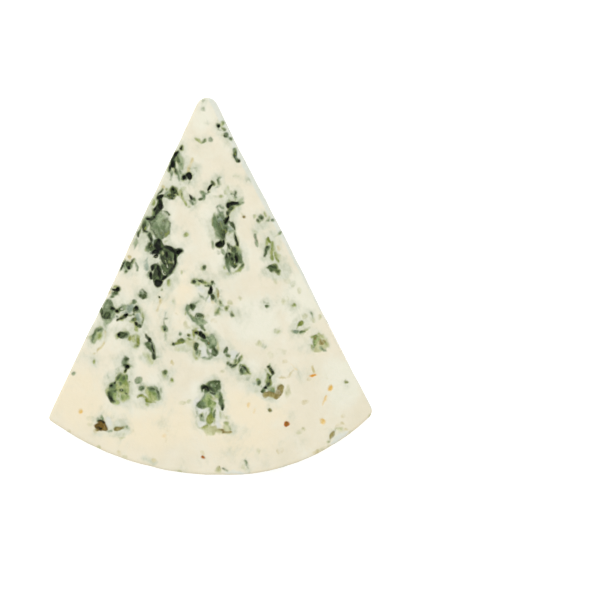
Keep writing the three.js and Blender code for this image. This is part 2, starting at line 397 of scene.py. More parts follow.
@dataclass(frozen=True)
class Plan:
    """The wedge's outline from above, in millimetres from the middle of its box.

    The rind has two arcs, which meet at its lowest point. Pairs are for the left and the right.
    """

    length: float
    half_angle: float = math.radians(26.1)
    tip_radius: float = 2.5
    rind_radii: tuple[float, float] = (64.0, 44.0)
    lowest_across: float = 3.3  # of the rind's lowest point, to the right of the middle line
    corner_radii: tuple[float, float] = (1.0, 2.0)
    arc_step: float = math.radians(4.0)

    LOWEST_ANGLE = 1.5 * math.pi  # of the lowest point, seen from the centres of both arcs

    @property
    def apex_above_tip(self) -> float:
        """From the rounded tip up to where the cut sides would meet."""
        return self.tip_radius / math.sin(self.half_angle) - self.tip_radius

    def from_apex(self, across: float, down: float) -> Array:
        """A point given from the sharp apex, before centring."""
        return np.array([across, self.apex_above_tip + self.length / 2 - down])

    def radii(self, side: int) -> tuple[float, float]:
        """Radius of the rind and of its corner, on one side."""
        number = 0 if side < 0 else 1
        return self.rind_radii[number], self.corner_radii[number]

    def rind_centre(self, side: int) -> Array:
        """Middle of one of the rind's two circles, before centring."""
        return self.from_apex(self.lowest_across, self.length + self.apex_above_tip - self.radii(side)[0])

    def along(self, side: int) -> Array:
        """Direction from the apex along a cut side, -1 for the left one and 1 for the right one."""
        return np.array([side * math.sin(self.half_angle), -math.cos(self.half_angle)])

    def outward(self, side: int) -> Array:
        """Direction out of a cut side."""
        return np.array([side * math.cos(self.half_angle), math.sin(self.half_angle)])

    def corner_centre(self, side: int) -> Array:
        """Middle of the circle that rounds the corner of a cut side and the rind."""
        rind_radius, radius = self.radii(side)
        start = self.from_apex(0, 0) - self.outward(side) * radius - self.rind_centre(side)
        half = start @ self.along(side)
        run = -half + math.sqrt(half**2 - start @ start + (rind_radius - radius) ** 2)
        return start + self.along(side) * run + self.rind_centre(side)

    def corner_angle(self, side: int) -> float:
        """Angle from the rind's middle to a corner's, 0 to a full turn."""
        x, y = self.corner_centre(side) - self.rind_centre(side)
        return math.atan2(y, x) % math.tau

    def side_length(self, side: int) -> float:
        """From the apex to where a cut side meets its corner's rounding."""
        return float((self.corner_centre(side) - self.from_apex(0, 0)) @ self.along(side))

    def arc(self, centre: Array, radius: float, start: float, end: float) -> list[Array]:
        """Points along an arc."""
        count = max(2, math.ceil(abs(end - start) / self.arc_step)) + 1
        angles = np.linspace(start, end, count)
        return [centre + radius * np.array([math.cos(angle), math.sin(angle)]) for angle in angles]

    def raw_outline(self) -> Array:
        """The outline's points before centring, counter-clockwise."""
        right, left = self.half_angle, math.pi - self.half_angle
        left_angle, right_angle = self.corner_angle(-1), self.corner_angle(1)
        tip_centre = self.from_apex(0, self.tip_radius / math.sin(self.half_angle))
        (left_rind, left_corner), (right_rind, right_corner) = self.radii(-1), self.radii(1)
        return np.array(
            self.arc(tip_centre, self.tip_radius, right, left)
            + self.arc(self.corner_centre(-1), left_corner, left, left_angle)
            + self.arc(self.rind_centre(-1), left_rind, left_angle, self.LOWEST_ANGLE)[1:]
            + self.arc(self.rind_centre(1), right_rind, self.LOWEST_ANGLE, right_angle)[1:-1]
            + self.arc(self.corner_centre(1), right_corner, right_angle, math.tau + right)
        )

    @cached_property
    def shift(self) -> Array:
        """From the plan's own origin to the middle of its box."""
        points = self.raw_outline()
        return (points.min(0) + points.max(0)) / 2

    def distance(self, x: Array, y: Array) -> Array:
        """Distance to the outline, negative inside.

        Args:
            x: coordinates across.
            y: coordinates along, of the same shape.

        Returns:
            Distances of that shape.
        """
        points = self.raw_outline() - self.shift
        place = np.stack([x, y], -1)
        nearest = np.full(x.shape, np.inf)
        beyond = np.full(x.shape, -np.inf)
        for start, end in zip(points, np.roll(points, -1, 0)):
            edge = end - start
            length = math.hypot(*edge)
            offset = place - start
            run = np.clip(offset @ edge / length**2, 0, 1)
            gap = offset - run[..., None] * edge
            nearest = np.minimum(nearest, np.hypot(gap[..., 0], gap[..., 1]))
            beyond = np.maximum(beyond, (offset[..., 0] * edge[1] - offset[..., 1] * edge[0]) / length)
        return np.where(beyond < 0, -nearest, nearest)

    def side_inset(self, x: Array, y: Array, side: int) -> Array:
        """How far inside a cut side a place is."""
        apex = self.from_apex(0, 0) - self.shift
        across, along = self.outward(side)
        return (apex[0] - x) * across + (apex[1] - y) * along

    def rind_distance(self, x: Array, y: Array) -> Array:
        """How far inside the rind's arcs a place is."""
        gaps = []
        for side in (-1, 1):
            centre = self.rind_centre(side) - self.shift
            gaps.append(self.radii(side)[0] - np.hypot(x - centre[0], y - centre[1]))
        return np.where(x < self.lowest_across - self.shift[0], gaps[0], gaps[1])


# ---- marks of the upper face ----------------------------------------------------------------------


class Kind(Enum):
    """What a mark on the paste is, in the order in which one kind lies over another.

    Each has its two colours, its depth, how far its edge fades, and how ragged it is, in millimetres.
    """

    CREAM = ((238, 227, 199), (237, 226, 197), 0.0, 5.0, 0.6)
    CHALK = ((234, 231, 212), (232, 230, 210), 0.0, 3.0, 0.6)
    STAIN = ((215, 216, 196), (198, 201, 176), 0.03, 1.1, 0.3)
    # painted shade: grey on the rounded rims that turn from the light, on the right cut side's rim and at
    # spots of the rind's edge
    RIM_SHADE = ((215, 219, 206), (222, 223, 210), 0.0, 0.5, 0.15)
    HAZE = ((214, 216, 203), (224, 223, 212), 0.05, 0.6, 0.2)
    TAN = ((196, 184, 134), (216, 206, 164), 0.1, 0.4, 0.12)
    PALE = ((180, 181, 132), (202, 203, 160), 0.15, 0.6, 0.13)
    OLIVE = ((136, 150, 78), (184, 190, 134), 0.3, 0.55, 0.13)
    FERN = ((108, 130, 66), (168, 182, 122), 0.3, 0.55, 0.13)
    SAGE = ((106, 126, 88), (162, 175, 138), 0.35, 0.55, 0.13)
    MOSS = ((114, 128, 40), (156, 162, 90), 0.35, 0.4, 0.12)
    BLUE = ((166, 180, 160), (134, 148, 128), 0.25, 0.6, 0.2)
    GREEN = ((94, 112, 68), (56, 68, 40), 0.6, 0.45, 0.14)
    UMBER = ((132, 118, 62), (166, 156, 98), 0.35, 0.35, 0.1)
    AMBER = ((228, 186, 98), (233, 210, 154), 0.2, 0.45, 0.1)
    RUST = ((214, 140, 16), (226, 164, 66), 0.15, 0.35, 0.08)
    CLAY = ((186, 108, 12), (156, 88, 10), 0.1, 0.35, 0.08)
    BROWN = ((122, 94, 26), (90, 70, 20), 0.45, 0.4, 0.08)
    # dark mould, and painted shade: its near-black colours also stand for the shadow deep in holes and
    # pockets
    BLACK = ((30, 38, 22), (8, 11, 6), 1.15, 0.35, 0.1)

    def __init__(self, main: Rgb, other: Rgb, depth: float, fade: float, ragged: float) -> None:
        """Keeps the fields."""
        self.main = main
        self.other = other
        self.depth = depth
        self.fade = fade
        self.ragged = ragged

    @property
    def layer(self) -> str:
        """Name of the mesh's layer that holds how far inside such a mark a point is."""
        return "cover_" + self.name.lower()

    @property
    def rank(self) -> int:
        """Its place among the kinds, from the lowest."""
        return list(Kind).index(self)


@dataclass(frozen=True)
class PhotoScale:
    """Turns a pixel of the photograph into a place on the upper face."""

    plan: Plan
    apex_px: float = 206.4
    apex_py: float = 82.0
    mm_per_px: float = 0.21108
    lean: float = math.radians(0.83)  # of the middle line, towards the right corner

    def place(self, px: float, py: float) -> Array:
        """Millimetres from the middle of the wedge's box."""
        right, down = (px - self.apex_px) * self.mm_per_px, (py - self.apex_py) * self.mm_per_px
        along = right * math.sin(self.lean) + down * math.cos(self.lean)
        across = right * math.cos(self.lean) - down * math.sin(self.lean)
        return self.plan.from_apex(across, along) - self.plan.shift


@dataclass(frozen=True)
class Blot:
    """An oval mark: its middle and size in the photograph's pixels, turned counter-clockwise in degrees."""

    kind: Kind
    px: float
    py: float
    wide: float
    high: float
    turn: float = 0.0

    def span(self, scale: PhotoScale) -> tuple[Array, float]:
        """Middle of the mark and how far it reaches from there, in millimetres."""
        return scale.place(self.px, self.py), max(self.wide, self.high) * scale.mm_per_px / 2

    def cover(self, x: Array, y: Array, scale: PhotoScale) -> Array:
        """How far inside the mark each place is, in millimetres, negative outside."""
        middle = scale.place(self.px, self.py)
        angle = math.radians(self.turn) - scale.lean
        dx, dy = x - middle[0], y - middle[1]
        u = dx * math.cos(angle) + dy * math.sin(angle)
        v = dy * math.cos(angle) - dx * math.sin(angle)
        a, b = self.wide * scale.mm_per_px / 2, self.high * scale.mm_per_px / 2
        near = np.hypot(u / a, v / b)
        slope = np.hypot(u / a**2, v / b**2) + TINY
        return near * (1 - near) / slope


@dataclass(frozen=True)
class Vein:
    """A bent stroke between two pixels. A positive bend bulges to the left of a stroke that runs down."""

    kind: Kind
    px: float
    py: float
    end_px: float
    end_py: float
    wide: float
    bend: float = 0.0

    PIECES = 5
    TAPER = 0.45  # share of its width that a stroke loses at its ends

    def span(self, scale: PhotoScale) -> tuple[Array, float]:
        """Middle of the stroke and how far it reaches from there, in millimetres."""
        start, end = scale.place(self.px, self.py), scale.place(self.end_px, self.end_py)
        reach = math.hypot(*(end - start)) / 2 + (self.wide / 2 + abs(self.bend)) * scale.mm_per_px
        return (start + end) / 2, reach

    def knots(self) -> list[tuple[float, float, float]]:
        """Points along the stroke in pixels, with the half width there."""
        run, drop = self.end_px - self.px, self.end_py - self.py
        length = math.hypot(run, drop)
        found = []
        for t in np.linspace(0, 1, self.PIECES + 1):
            bow = 4 * t * (1 - t)
            x = self.px + t * run - bow * self.bend * drop / length
            y = self.py + t * drop + bow * self.bend * run / length
            found.append((x, y, self.wide / 2 * (1 - self.TAPER * (2 * t - 1) ** 2)))
        return found

    def cover(self, x: Array, y: Array, scale: PhotoScale) -> Array:
        """How far inside the stroke each place is, in millimetres, negative outside."""
        best = np.full(x.shape, -np.inf)
        knots = self.knots()
        for (ax, ay, aw), (bx, by, bw) in zip(knots, knots[1:]):
            start, end = scale.place(ax, ay), scale.place(bx, by)
            edge = end - start
            dx, dy = x - start[0], y - start[1]
            run = np.clip((dx * edge[0] + dy * edge[1]) / (edge @ edge), 0, 1)
            gap = np.hypot(dx - run * edge[0], dy - run * edge[1])
            best = np.maximum(best, (aw + run * (bw - aw)) * scale.mm_per_px - gap)
        return best


Mark = Blot | Vein
Oval = tuple[float, ...]
K = Kind


class Canvas:
    """The upper face as a fine grid with a layer for each kind: how far inside its marks a place is."""

    CELL = 0.13
    REACH = (36.0, 42.0)
    FAR = -3.0  # where there is no mark
    INSIDE = 0.3  # the cover stops rising here, so that rough patches can break through a large mark
    THINNER = 0.015  # taken off dark marks all round, because their mould frays outward
    OVERLAP = 0.12  # how far a dark mark keeps running under the edge of an island drawn over it
    DIRECTIONS = (math.radians(62), math.radians(-68))  # of streaks in the mould, from the right
    FRAYED = 1.2  # how far past a mark its cover is still worked out
    SOFT = 0.1  # half of the step from outside to inside a mark
    BEND = ((0.09, 1.4), (0.08, 0.55))  # of the marks' outlines
    BLURS = {"black": 0.4, "near": 0.9, "wide": 2.2}
    PATCH = 1.9  # cell of the noise that picks the colour of a ring
    RING = (0.14, 0.04)  # how far light mould shows round dark, by patch and everywhere
    THREADS = (0.22, 0.35)  # strength and cell of the green streaks that tear black open
    # slope and start of one kind's cover over the share of another round a place
    GREEN_RISE, GREEN_MOST = (1.2, -0.45), (4.0, -1.2)
    STAIN_RISE, STAIN_MOST, STAIN_UNDER = (2.6, -0.36), (12.0, -0.8), (0.8, 0.15)
    CHALK_RISE = (9.0, -1.53)
    FINE = ((0.75, 0.5), (0.5, 0.9))  # ragged edges of mould: streaks, then patches
    BROAD = ((0.75, 2.4), (0.45, 1.2))  # uneven edges of tints
    DEPTH_WAVES = ((0.2, 1.0), (0.12, 2.6))
    DEPTH_LIMITS = (0.4, 1.5)
    PASTE_DEPTH = 0.1  # of the cut paste under the solid's level
    PASTE_WAVES = ((0.05, 9.0), (0.035, 3.2), (0.014, 1.4))

    def __init__(self, scale: PhotoScale) -> None:
        """Starts with bare paste.

        Args:
            scale: where the photograph's pixels lie on the face.
        """
        self.scale = scale
        self.axes = [np.arange(-reach, reach + self.CELL, self.CELL) for reach in self.REACH]
        self.layers = {kind: np.full([len(axis) for axis in self.axes], self.FAR) for kind in Kind}
        across, along = np.meshgrid(*self.axes, indexing="ij")
        self.x, self.y = across + self.waves(11, self.BEND), along + self.waves(13, self.BEND)

    def noise(self, seed: int, cell: float) -> Array:
        """Noise over the grid."""
        return Lattice(seed, cell).on_axes([*self.axes, np.zeros(1)])[:, :, 0]

    def waves(self, seed: int, parts: Waves) -> Array:
        """Several noises over the grid, added."""
        return sum(strength * self.noise(seed + i, cell) for i, (strength, cell) in enumerate(parts))

    def streaks(self, seed: int, cell: float) -> Array:
        """Noise drawn out along two steep directions, which take turns over the face."""
        turns = ease(self.noise(15, 5.0), -0.5, 0.5)
        found = []
        for number, angle in enumerate(self.DIRECTIONS):
            along = self.x * math.cos(angle) + self.y * math.sin(angle)
            across = self.y * math.cos(angle) - self.x * math.sin(angle)
            found.append(FlatLattice(seed + number, cell).at(along / STRETCH, across))
        return found[0] * turns + found[1] * (1 - turns)

    def window(self, mark: Mark) -> tuple[slice, slice]:
        """The part of the grid that a mark reaches, with its fading edge."""
        middle, reach = mark.span(self.scale)
        reach += self.FRAYED + mark.kind.fade
        parts = [
            slice(*np.searchsorted(axis, (at - reach, at + reach)))
            for axis, at in zip(self.axes, middle)
        ]
        return parts[0], parts[1]

    def draw(self, mark: Mark, ceiling: float = math.inf) -> None:
        """Adds a mark to the layer of its kind.

        Args:
            mark: what is drawn.
            ceiling: its cover stays under this, which leaves a mark faint.
        """
        part = self.window(mark)
        cover = mark.cover(self.x[part], self.y[part], self.scale)
        if mark.kind in (K.GREEN, K.BLACK):
            cover -= self.THINNER
        layer = self.layers[mark.kind]
        layer[part] = np.maximum(layer[part], np.minimum(cover, ceiling))

    def uncover(self, mark: Mark, above: int) -> None:
        """Takes darker marks away under an island.

        Args:
            mark: the island.
            above: the lowest rank that goes.
        """
        part = self.window(mark)
        gap = self.OVERLAP - mark.cover(self.x[part], self.y[part], self.scale)
        for kind, layer in self.layers.items():
            if kind.rank >= above:
                layer[part] = np.minimum(layer[part], gap)

    def blurred(self, values: Array, sigma: float) -> Array:
        """A layer blurred over the face.

        Args:
            values: an array on the grid.
            sigma: of the blur, in millimetres.

        Returns:
            The blurred array.
        """
        waves = [np.fft.fftfreq(len(axis), self.CELL) for axis in self.axes]
        fall = [np.exp(-2 * (math.pi * sigma * wave) ** 2) for wave in waves]
        return np.fft.ifft2(np.fft.fft2(values) * np.outer(*fall)).real

    def fringe(self) -> None:
        """Rings dark marks with lighter mould, and pales the paste round all mould."""
        layers, patch = self.layers, np.clip(self.noise(71, self.PATCH), -1, 1)
        black = self.blurred(ease(layers[K.BLACK], -self.SOFT, self.SOFT), self.BLURS["black"])
        torn = line(black, self.GREEN_RISE) + self.THREADS[0] * self.streaks(72, self.THREADS[1])
        mottled = np.minimum(torn, line(black, self.GREEN_MOST))
        layers[K.GREEN] = np.maximum(layers[K.GREEN], mottled)
        dark = np.maximum(layers[K.GREEN], layers[K.BLACK])
        for kind, sign in ((K.OLIVE, 1), (K.SAGE, -1)):
            layers[kind] = np.maximum(layers[kind], dark + line(sign * patch, self.RING))
        mould = np.max([layers[kind] for kind in (K.OLIVE, K.FERN, K.SAGE, K.MOSS, K.BLUE, K.GREEN)], axis=0)
        share = ease(mould, -self.SOFT, self.SOFT)
        near = self.blurred(share, self.BLURS["near"])
        stained = np.minimum(line(near, self.STAIN_RISE), line(near, self.STAIN_MOST))
        layers[K.STAIN] = np.max([layers[K.STAIN], stained, line(mould, self.STAIN_UNDER)], axis=0)
        chalky = line(self.blurred(share, self.BLURS["wide"]), self.CHALK_RISE)
        layers[K.CHALK] = np.maximum(layers[K.CHALK], chalky)

    def roughen(self) -> None:
        """Breaks the marks' edges and insides up with noise, each kind in its own way."""
        self.fringe()
        for kind, layer in self.layers.items():
            fine = kind.rank > K.RIM_SHADE.rank
            (first, cell), (second, next_cell) = self.FINE if fine else self.BROAD
            edge = self.streaks(30 + 2 * kind.rank, cell) if fine else self.noise(30 + kind.rank, cell)
            rough = first * edge + second * self.noise(60 + kind.rank, next_cell)
            room = max(self.INSIDE, kind.fade)
            self.layers[kind] = np.minimum(layer, room) + kind.ragged * rough

    def relief(self) -> Array:
        """Depth of the face under its own level on the whole grid, in millimetres."""
        deepest = np.zeros_like(self.x)
        for kind, layer in self.layers.items():
            if kind.depth > 0:
                deepest = np.maximum(deepest, kind.depth * ease(layer, -self.SOFT, self.INSIDE))
        uneven = np.clip(1 + self.waves(21, self.DEPTH_WAVES), *self.DEPTH_LIMITS)
        return deepest * uneven + np.clip(self.PASTE_DEPTH + self.waves(23, self.PASTE_WAVES), 0, None)

    def read(self, values: Array, x: Array, y: Array) -> Array:
        """Values of a layer at loose places, interpolated.

        Args:
            values: a layer or any other array on the grid.
            x: places across.
            y: places along.

        Returns:
            One value for each place.
        """
        found = []
        for axis, at in zip(self.axes, (x, y)):
            run = np.clip((at - axis[0]) / self.CELL, 0, len(axis) - 1.001)
            found.append((run.astype(int), run % 1))
        (i, u), (j, v) = found
        low = values[i, j] * (1 - u) + values[i + 1, j] * u
        high = values[i, j + 1] * (1 - u) + values[i + 1, j + 1] * u
        return low * (1 - v) + high * v


class FaceMarks:
    """The marks of the upper face, region by region, as the photograph shows them.

    A tuple is an oval (px, py, wide, high, turn) or a stroke (px, py, end px, end py, wide, bend). They are
    the fields of Blot and Vein, in the photograph's pixels, counted from the corner pixel of the region.
    """

    FAINT = -0.08  # ceiling of a faint mark's cover, in millimetres

    def __init__(self, canvas: Canvas) -> None:
        """Takes the canvas that is drawn on."""
        self.canvas = canvas
        self.origin = (0, 0)  # the region's corner pixel

    def moved(self, mark: Oval, points: int) -> Oval:
        """Counts a mark's first points from the photograph's own corner."""
        shift = self.origin * points
        return (*map(sum, zip(mark, shift)), *mark[len(shift) :])

    def blots(self, kind: Kind, *ovals: Oval) -> None:
        """Draws oval marks of one kind."""
        for oval in ovals:
            self.canvas.draw(Blot(kind, *self.moved(oval, 1)))

    def faint(self, kind: Kind, *ovals: Oval) -> None:
        """Draws oval marks that only just show."""
        for oval in ovals:
            self.canvas.draw(Blot(kind, *self.moved(oval, 1)), self.FAINT)

    def veins(self, kind: Kind, *strokes: Oval) -> None:
        """Draws strokes of one kind."""
        for stroke in strokes:
            self.canvas.draw(Vein(kind, *self.moved(stroke, 2)))

    def islands(self, kind: Kind, *ovals: Oval) -> None:
        """Draws oval marks over darker ones."""
        for oval in ovals:
            self.canvas.uncover(Blot(kind, *self.moved(oval, 1)), kind.rank + 1)
            self.blots(kind, oval)

    def bare(self, *ovals: Oval) -> None:
        """Lets the paste show through."""
        for oval in ovals:
            self.canvas.uncover(Blot(K.STAIN, *self.moved(oval, 1)), K.TAN.rank)

    def draw(self) -> None:
        """Draws every region and roughens the whole."""
        regions = (
            self.tints, self.tip, self.upper_left, self.upper_middle, self.left_chain, self.left_mass,
            self.left_edge, self.middle_top, self.upper_right, self.leaf, self.lower_left, self.green_pocket,
            self.crescent, self.brown_corner, self.central_pocket, self.middle_low, self.middle_loop,
            self.middle_vein, self.right, self.lower_right, self.rind_flecks,
        )
        for region in regions:
            region()
        self.canvas.roughen()

    def tints(self) -> None:
        """Warm and chalky tones of the paste."""
        self.origin = (78, 112)
        self.blots(K.CREAM, (0, 290, 60, 60), (72, 313, 120, 50), (162, 308, 90, 70), (102, 188, 40, 50))
        self.blots(K.CHALK, (127, 0, 20, 40), (222, 188, 40, 60), (267, 268, 40, 50), (177, 208, 50, 50))

    def tip(self) -> None:
        """The small marks under the tip and down the right edge."""
        self.origin = (194, 100)
        self.blots(K.STAIN, (13.5, 23, 4, 7), (30, 31, 12, 7), (45, 56, 3, 9), (54.5, 72, 2.5, 7))
        self.veins(K.STAIN, (17, 1, 22, 6, 2), (25, 16, 25, 21, 2))
        self.blots(K.OLIVE, (27.5, 24.3, 4, 2), (22.8, 27, 2, 2.5))
        self.faint(K.OLIVE, (26, 33.8, 6, 2.5), (39, 54.5, 2, 6), (42.5, 76.5, 4, 2))
        self.veins(K.OLIVE, (0.5, 38, 7, 42.5, 1.6))
        self.blots(K.SAGE, (10.5, 0.3, 3, 1.6), (32, 34, 5.5, 3.6), (25.5, 29.5, 4, 1.3))
        self.faint(K.SAGE, (9, 9, 3.5, 2), (17, 40.7, 2.6, 2.6), (53.5, 78.5, 3.5, 3.5))
        self.veins(K.SAGE, (37.8, 39, 39.5, 42.5, 1.1), (55.5, 78.5, 57, 81.5, 1.3))
        self.veins(K.BLUE, (43.3, 51, 42.8, 58.5, 1.8))
        self.blots(K.GREEN, (28.3, 22.6, 2.4, 2.4), (31, 35.3, 2.4, 1.4), (37.3, 38.2, 2.1, 1.9))
        self.blots(K.GREEN, (11, 40.5, 3.2, 3))
        self.veins(K.GREEN, (27.8, 27.3, 31, 29, 2), (12, 41, 8, 43.5, 2), (41.9, 49, 40.5, 57, 1.7, -0.4))
        self.veins(K.GREEN, (40.5, 57, 46.5, 61, 1.8, 1.4))
        self.blots(K.BLACK, (24.2, 25.8, 3.2, 3.6), (40.4, 56.8, 1.5, 3), (46.5, 61, 2.1, 2.1))

    def upper_left(self) -> None:
        """The ragged chain down the upper left."""
        self.origin = (154, 146)
        self.blots(K.STAIN, (25, 20, 14, 26, 15))
        self.veins(K.TAN, (38.5, 12, 34, 27, 2.2))
        self.blots(K.TAN, (37.3, 20, 2.5, 4), (9.5, 42, 3, 3))
        self.blots(K.OLIVE, (0, 57, 3.5, 7), (12, 44, 3, 3))
        self.faint(K.OLIVE, (39, 60.5, 5, 1.5), (30, 43, 4, 2))
        self.veins(K.OLIVE, (8, 43.5, 2.5, 50, 1.7), (30, 52, 32, 59.5, 1.6))
        self.veins(
            K.SAGE, (24, 7, 27.5, 22, 5.5, -0.6), (20, 20, 24.5, 34, 2.6), (24, 19, 27, 32, 1.6),
            (17.5, 26, 17, 34, 2.6), (36, 23, 42.5, 23, 2, 0.6), (43.5, 24, 38, 31, 1.8),
            (26.5, 44, 33, 47, 1.3), (34, 46, 37, 50, 1.2), (41, 50, 41, 57, 1.2),
        )
        self.blots(K.SAGE, (14, 49, 9, 7), (41.5, 23, 4, 2), (41, 53, 3, 3))
        self.blots(K.GREEN, (20, 44.5, 7, 7), (17, 50, 9, 5), (24.5, 13, 3, 9, 12), (39.5, 52, 4, 3))
        self.veins(K.GREEN, (20, 22, 21.5, 28, 1.6), (34.5, 34, 34.8, 37.5, 1.1), (27, 45, 30.5, 53, 1.2))
        self.veins(K.GREEN, (8, 44, 4.5, 48, 1.1), (22, 45, 24, 48, 1.5), (11, 51, 16, 53, 1.3))
        self.blots(K.BLACK, (18.3, 18.5, 4.4, 8, -10), (27.4, 3.6, 2.6, 2.8), (30, 32.3, 6, 5))
        self.blots(K.BLACK, (34.8, 31.3, 5, 6.5), (19.5, 43.5, 3, 3), (21, 46.5, 2, 2))
        self.veins(
            K.BLACK, (23.5, 7, 16.8, 17, 2.6, 0.6), (16.5, 18, 14.8, 25, 1.9), (19, 19, 20.3, 26, 1.5),
            (27.5, 34.3, 32, 31.5, 3.2), (28.8, 0.8, 27.6, 3, 1.3), (36.5, 48, 38.3, 53, 1.7),
            (36.8, 54, 39.5, 57.7, 1.6), (3, 53.3, 9, 49.5, 2.8), (5, 52, 7.5, 59, 3.2),
        )
        self.bare((23, 18, 1.2, 7, 15), (33.4, 32.6, 1, 2))

    def upper_middle(self) -> None:
        """The marks between the two chains, above the middle."""
        self.origin = (200, 176)
        self.faint(K.OLIVE, (18.5, 21, 10, 2.2), (26.5, 14, 3.5, 8), (31, 16.5, 4, 1.2))
        self.blots(K.OLIVE, (20.5, 21.2, 3, 1.6))
        self.blots(K.SAGE, (17.5, 10.6, 4, 2.6), (35.5, 21.5, 6, 4), (40, 27.3, 7, 3.2, 12))
        self.veins(K.SAGE, (20.5, 0.5, 17, 4, 1.2), (2, 15.5, 9, 17, 1.8, 1), (3.3, 16, 3.3, 22.5, 2.2))
        self.veins(K.SAGE, (17, 32, 20, 29.5, 1.2), (20, 29.5, 23, 32.5, 1.2), (40, 26, 43, 23.5, 1.5))
        self.blots(K.GREEN, (0.3, 22.2, 2.4, 1.9), (2, 15.6, 2.5, 2), (36, 16.5, 2.5, 3), (9, 16, 2.4, 1.5))
        self.blots(K.GREEN, (31, 33, 7, 5, 30), (37, 28.5, 6, 3, 10))
        self.veins(
            K.GREEN, (11.5, 4.5, 14.5, 8.3, 1.6), (17, 4, 18.6, 8.5, 1.8), (31.5, 18, 37.5, 18.3, 1.6),
            (36, 16, 34.5, 24.5, 2), (28.5, 28, 29.3, 24.5, 1.8),
        )
        self.blots(K.BLACK, (28, 30, 3.8, 5.5))
        self.veins(K.BLACK, (12.5, 7.5, 8.5, 13, 2), (28, 28.5, 37, 27, 2.8))

    def left_chain(self) -> None:
        """The disc of sage mould and the chain beside it."""
        self.origin = (133, 206)
        self.blots(K.STAIN, (10, 34, 8, 24, -20), (19, 37, 5, 14))
        self.blots(K.BLUE, (19.5, 37, 2, 6), (20.2, 43.5, 2, 4), (17.5, 48, 3, 3))
        self.blots(K.OLIVE, (20, 5.5, 4, 8), (14, 27.3, 3, 2), (14.5, 43, 4, 5))
        self.blots(K.SAGE, (27.3, 20, 18.5, 25), (24, 29, 7, 9), (32.5, 19, 8, 17), (13.5, 18, 7, 15))
        self.veins(K.SAGE, (11.5, 11, 8.5, 21, 1.6), (6, 27, 0.5, 43, 2.4))
        self.faint(K.GREEN, (27, 20, 19, 25), (24, 28, 6, 8))
        self.blots(K.GREEN, (12.3, 20, 4, 12), (17, 40, 5.5, 10), (17, 31, 3, 8))
        self.veins(K.GREEN, (28, 5.5, 35.5, 9, 1.4, -1.8), (19, 23, 23.5, 31, 1.6), (8, 22, 5.5, 32, 1.6))
        self.blots(K.BLACK, (27.5, 0.5, 4.5, 6), (21.5, 10.5, 4.5, 4.5), (16.6, 39, 2.2, 2.6))
        self.veins(K.BLACK, (27, 2, 21, 11, 3.4), (21, 11.7, 14, 13, 2), (21, 3.5, 25, 2.5, 2.4))
        self.veins(K.BLACK, (16.5, 12, 18, 18, 1.3), (17.5, 28, 17.8, 35.5, 2.6), (12.5, 24, 16, 27.5, 1.6))
        self.bare((30.3, 8.3, 4, 1.6), (31, 31, 3, 3))

    def left_mass(self) -> None:
        """The large black mass and its tail."""
        self.origin = (143, 241)
        self.blots(K.STAIN, (0, 21, 14, 12), (14, 20, 8, 5))
        self.veins(K.BLUE, (5.5, 15.5, 1.5, 21, 2.4), (4.5, 20, 3, 28, 1.8))
        self.blots(
            K.OLIVE, (26, 41, 5, 8), (13, 17, 7, 4), (14, 29, 4, 5), (11.3, 33, 5, 8), (18, 22, 4, 3),
        )
        self.veins(K.OLIVE, (20, 2, 24.5, 0, 2.2), (27, 11, 28, 21, 2.5), (23, 23, 23.5, 33, 2.4))
        self.blots(K.GREEN, (20, 49, 2, 3), (23.5, 14, 14, 17), (25, 26, 11, 13, -30), (14, 34, 10, 15))
        self.blots(K.BLACK, (15.3, 4, 7.5, 14), (12.5, 11.5, 8, 5), (23.5, 13, 4.8, 8), (15.5, 42, 9, 6.5))
        self.blots(K.BLACK, (8.5, 37.5, 3.2, 3.2), (13.5, 16.5, 3, 2), (17, 8, 8, 6))
        self.veins(
            K.BLACK, (19, 5, 29, 7.5, 3), (27, 7.5, 33, 11, 2.6), (33, 11, 39, 10, 2.8),
            (32, 10, 32.5, 22, 3.4), (32.5, 21, 20.5, 38.5, 3.2, -1), (7.3, 31, 8, 37, 2.2),
            (8.5, 29, 13, 24, 2.6, -1), (13.5, 24, 16.8, 38, 4.2, -0.8), (19, 20, 24, 23, 1.5),
            (18.5, 23, 21.5, 28, 1.4), (19, 39, 24, 34, 3),
        )
        self.islands(K.OLIVE, (19.3, 12, 3.6, 6), (14, 31, 2, 5), (13, 17, 6, 3), (26.5, 20, 2, 4))
        self.bare((10, 20, 4, 3.5), (19.6, 31, 2, 9))

    def left_edge(self) -> None:
        """Marks where the left side meets the face."""
        self.origin = (109, 235)
        self.blots(K.STAIN, (35, 60, 12, 10), (29, 26, 12, 8))
        self.blots(K.TAN, (0.5, 57.5, 3, 4.5), (20, 22, 4, 4))
        self.veins(K.TAN, (51, 63, 50.5, 69, 1.1), (50.5, 69, 47, 76, 1))
        self.blots(K.OLIVE, (5.8, 51, 6, 2.6))
        self.faint(K.OLIVE, (77, 0.5, 2.5, 2.5), (74.5, 37, 3, 1.5), (30, 60, 3, 3))
        self.blots(K.SAGE, (17.5, 31.5, 9, 9, 40), (33.5, 59.5, 6, 5), (5.5, 58.5, 6, 5))
        self.veins(K.SAGE, (27, 27, 29, 35, 1.2), (25, 23, 28, 25, 1.5))
        self.blots(K.GREEN, (19.5, 30, 6, 7, 20), (17.3, 37.3, 2.5, 2), (3.7, 62, 2.6, 2), (7, 58, 4, 4))
        self.blots(K.GREEN, (31.5, 61.3, 2.6, 1.8), (36, 61.8, 3.6, 3.6))
        self.veins(K.GREEN, (21.5, 28, 25.5, 24.3, 2), (33.5, 56, 37, 59, 1.6))
        self.blots(
            K.BLACK, (20, 33, 3.6, 3), (8.6, 53.6, 3.4, 5), (35.5, 63, 1.8, 1.5), (51, 62.2, 1.6, 1.6),
        )
        self.veins(K.BLACK, (16, 26, 11.5, 35, 1.6), (2.8, 54, 7.5, 54.2, 1.6))
        self.bare((2.5, 51.5, 2, 2), (4.5, 55.8, 2, 1.5))

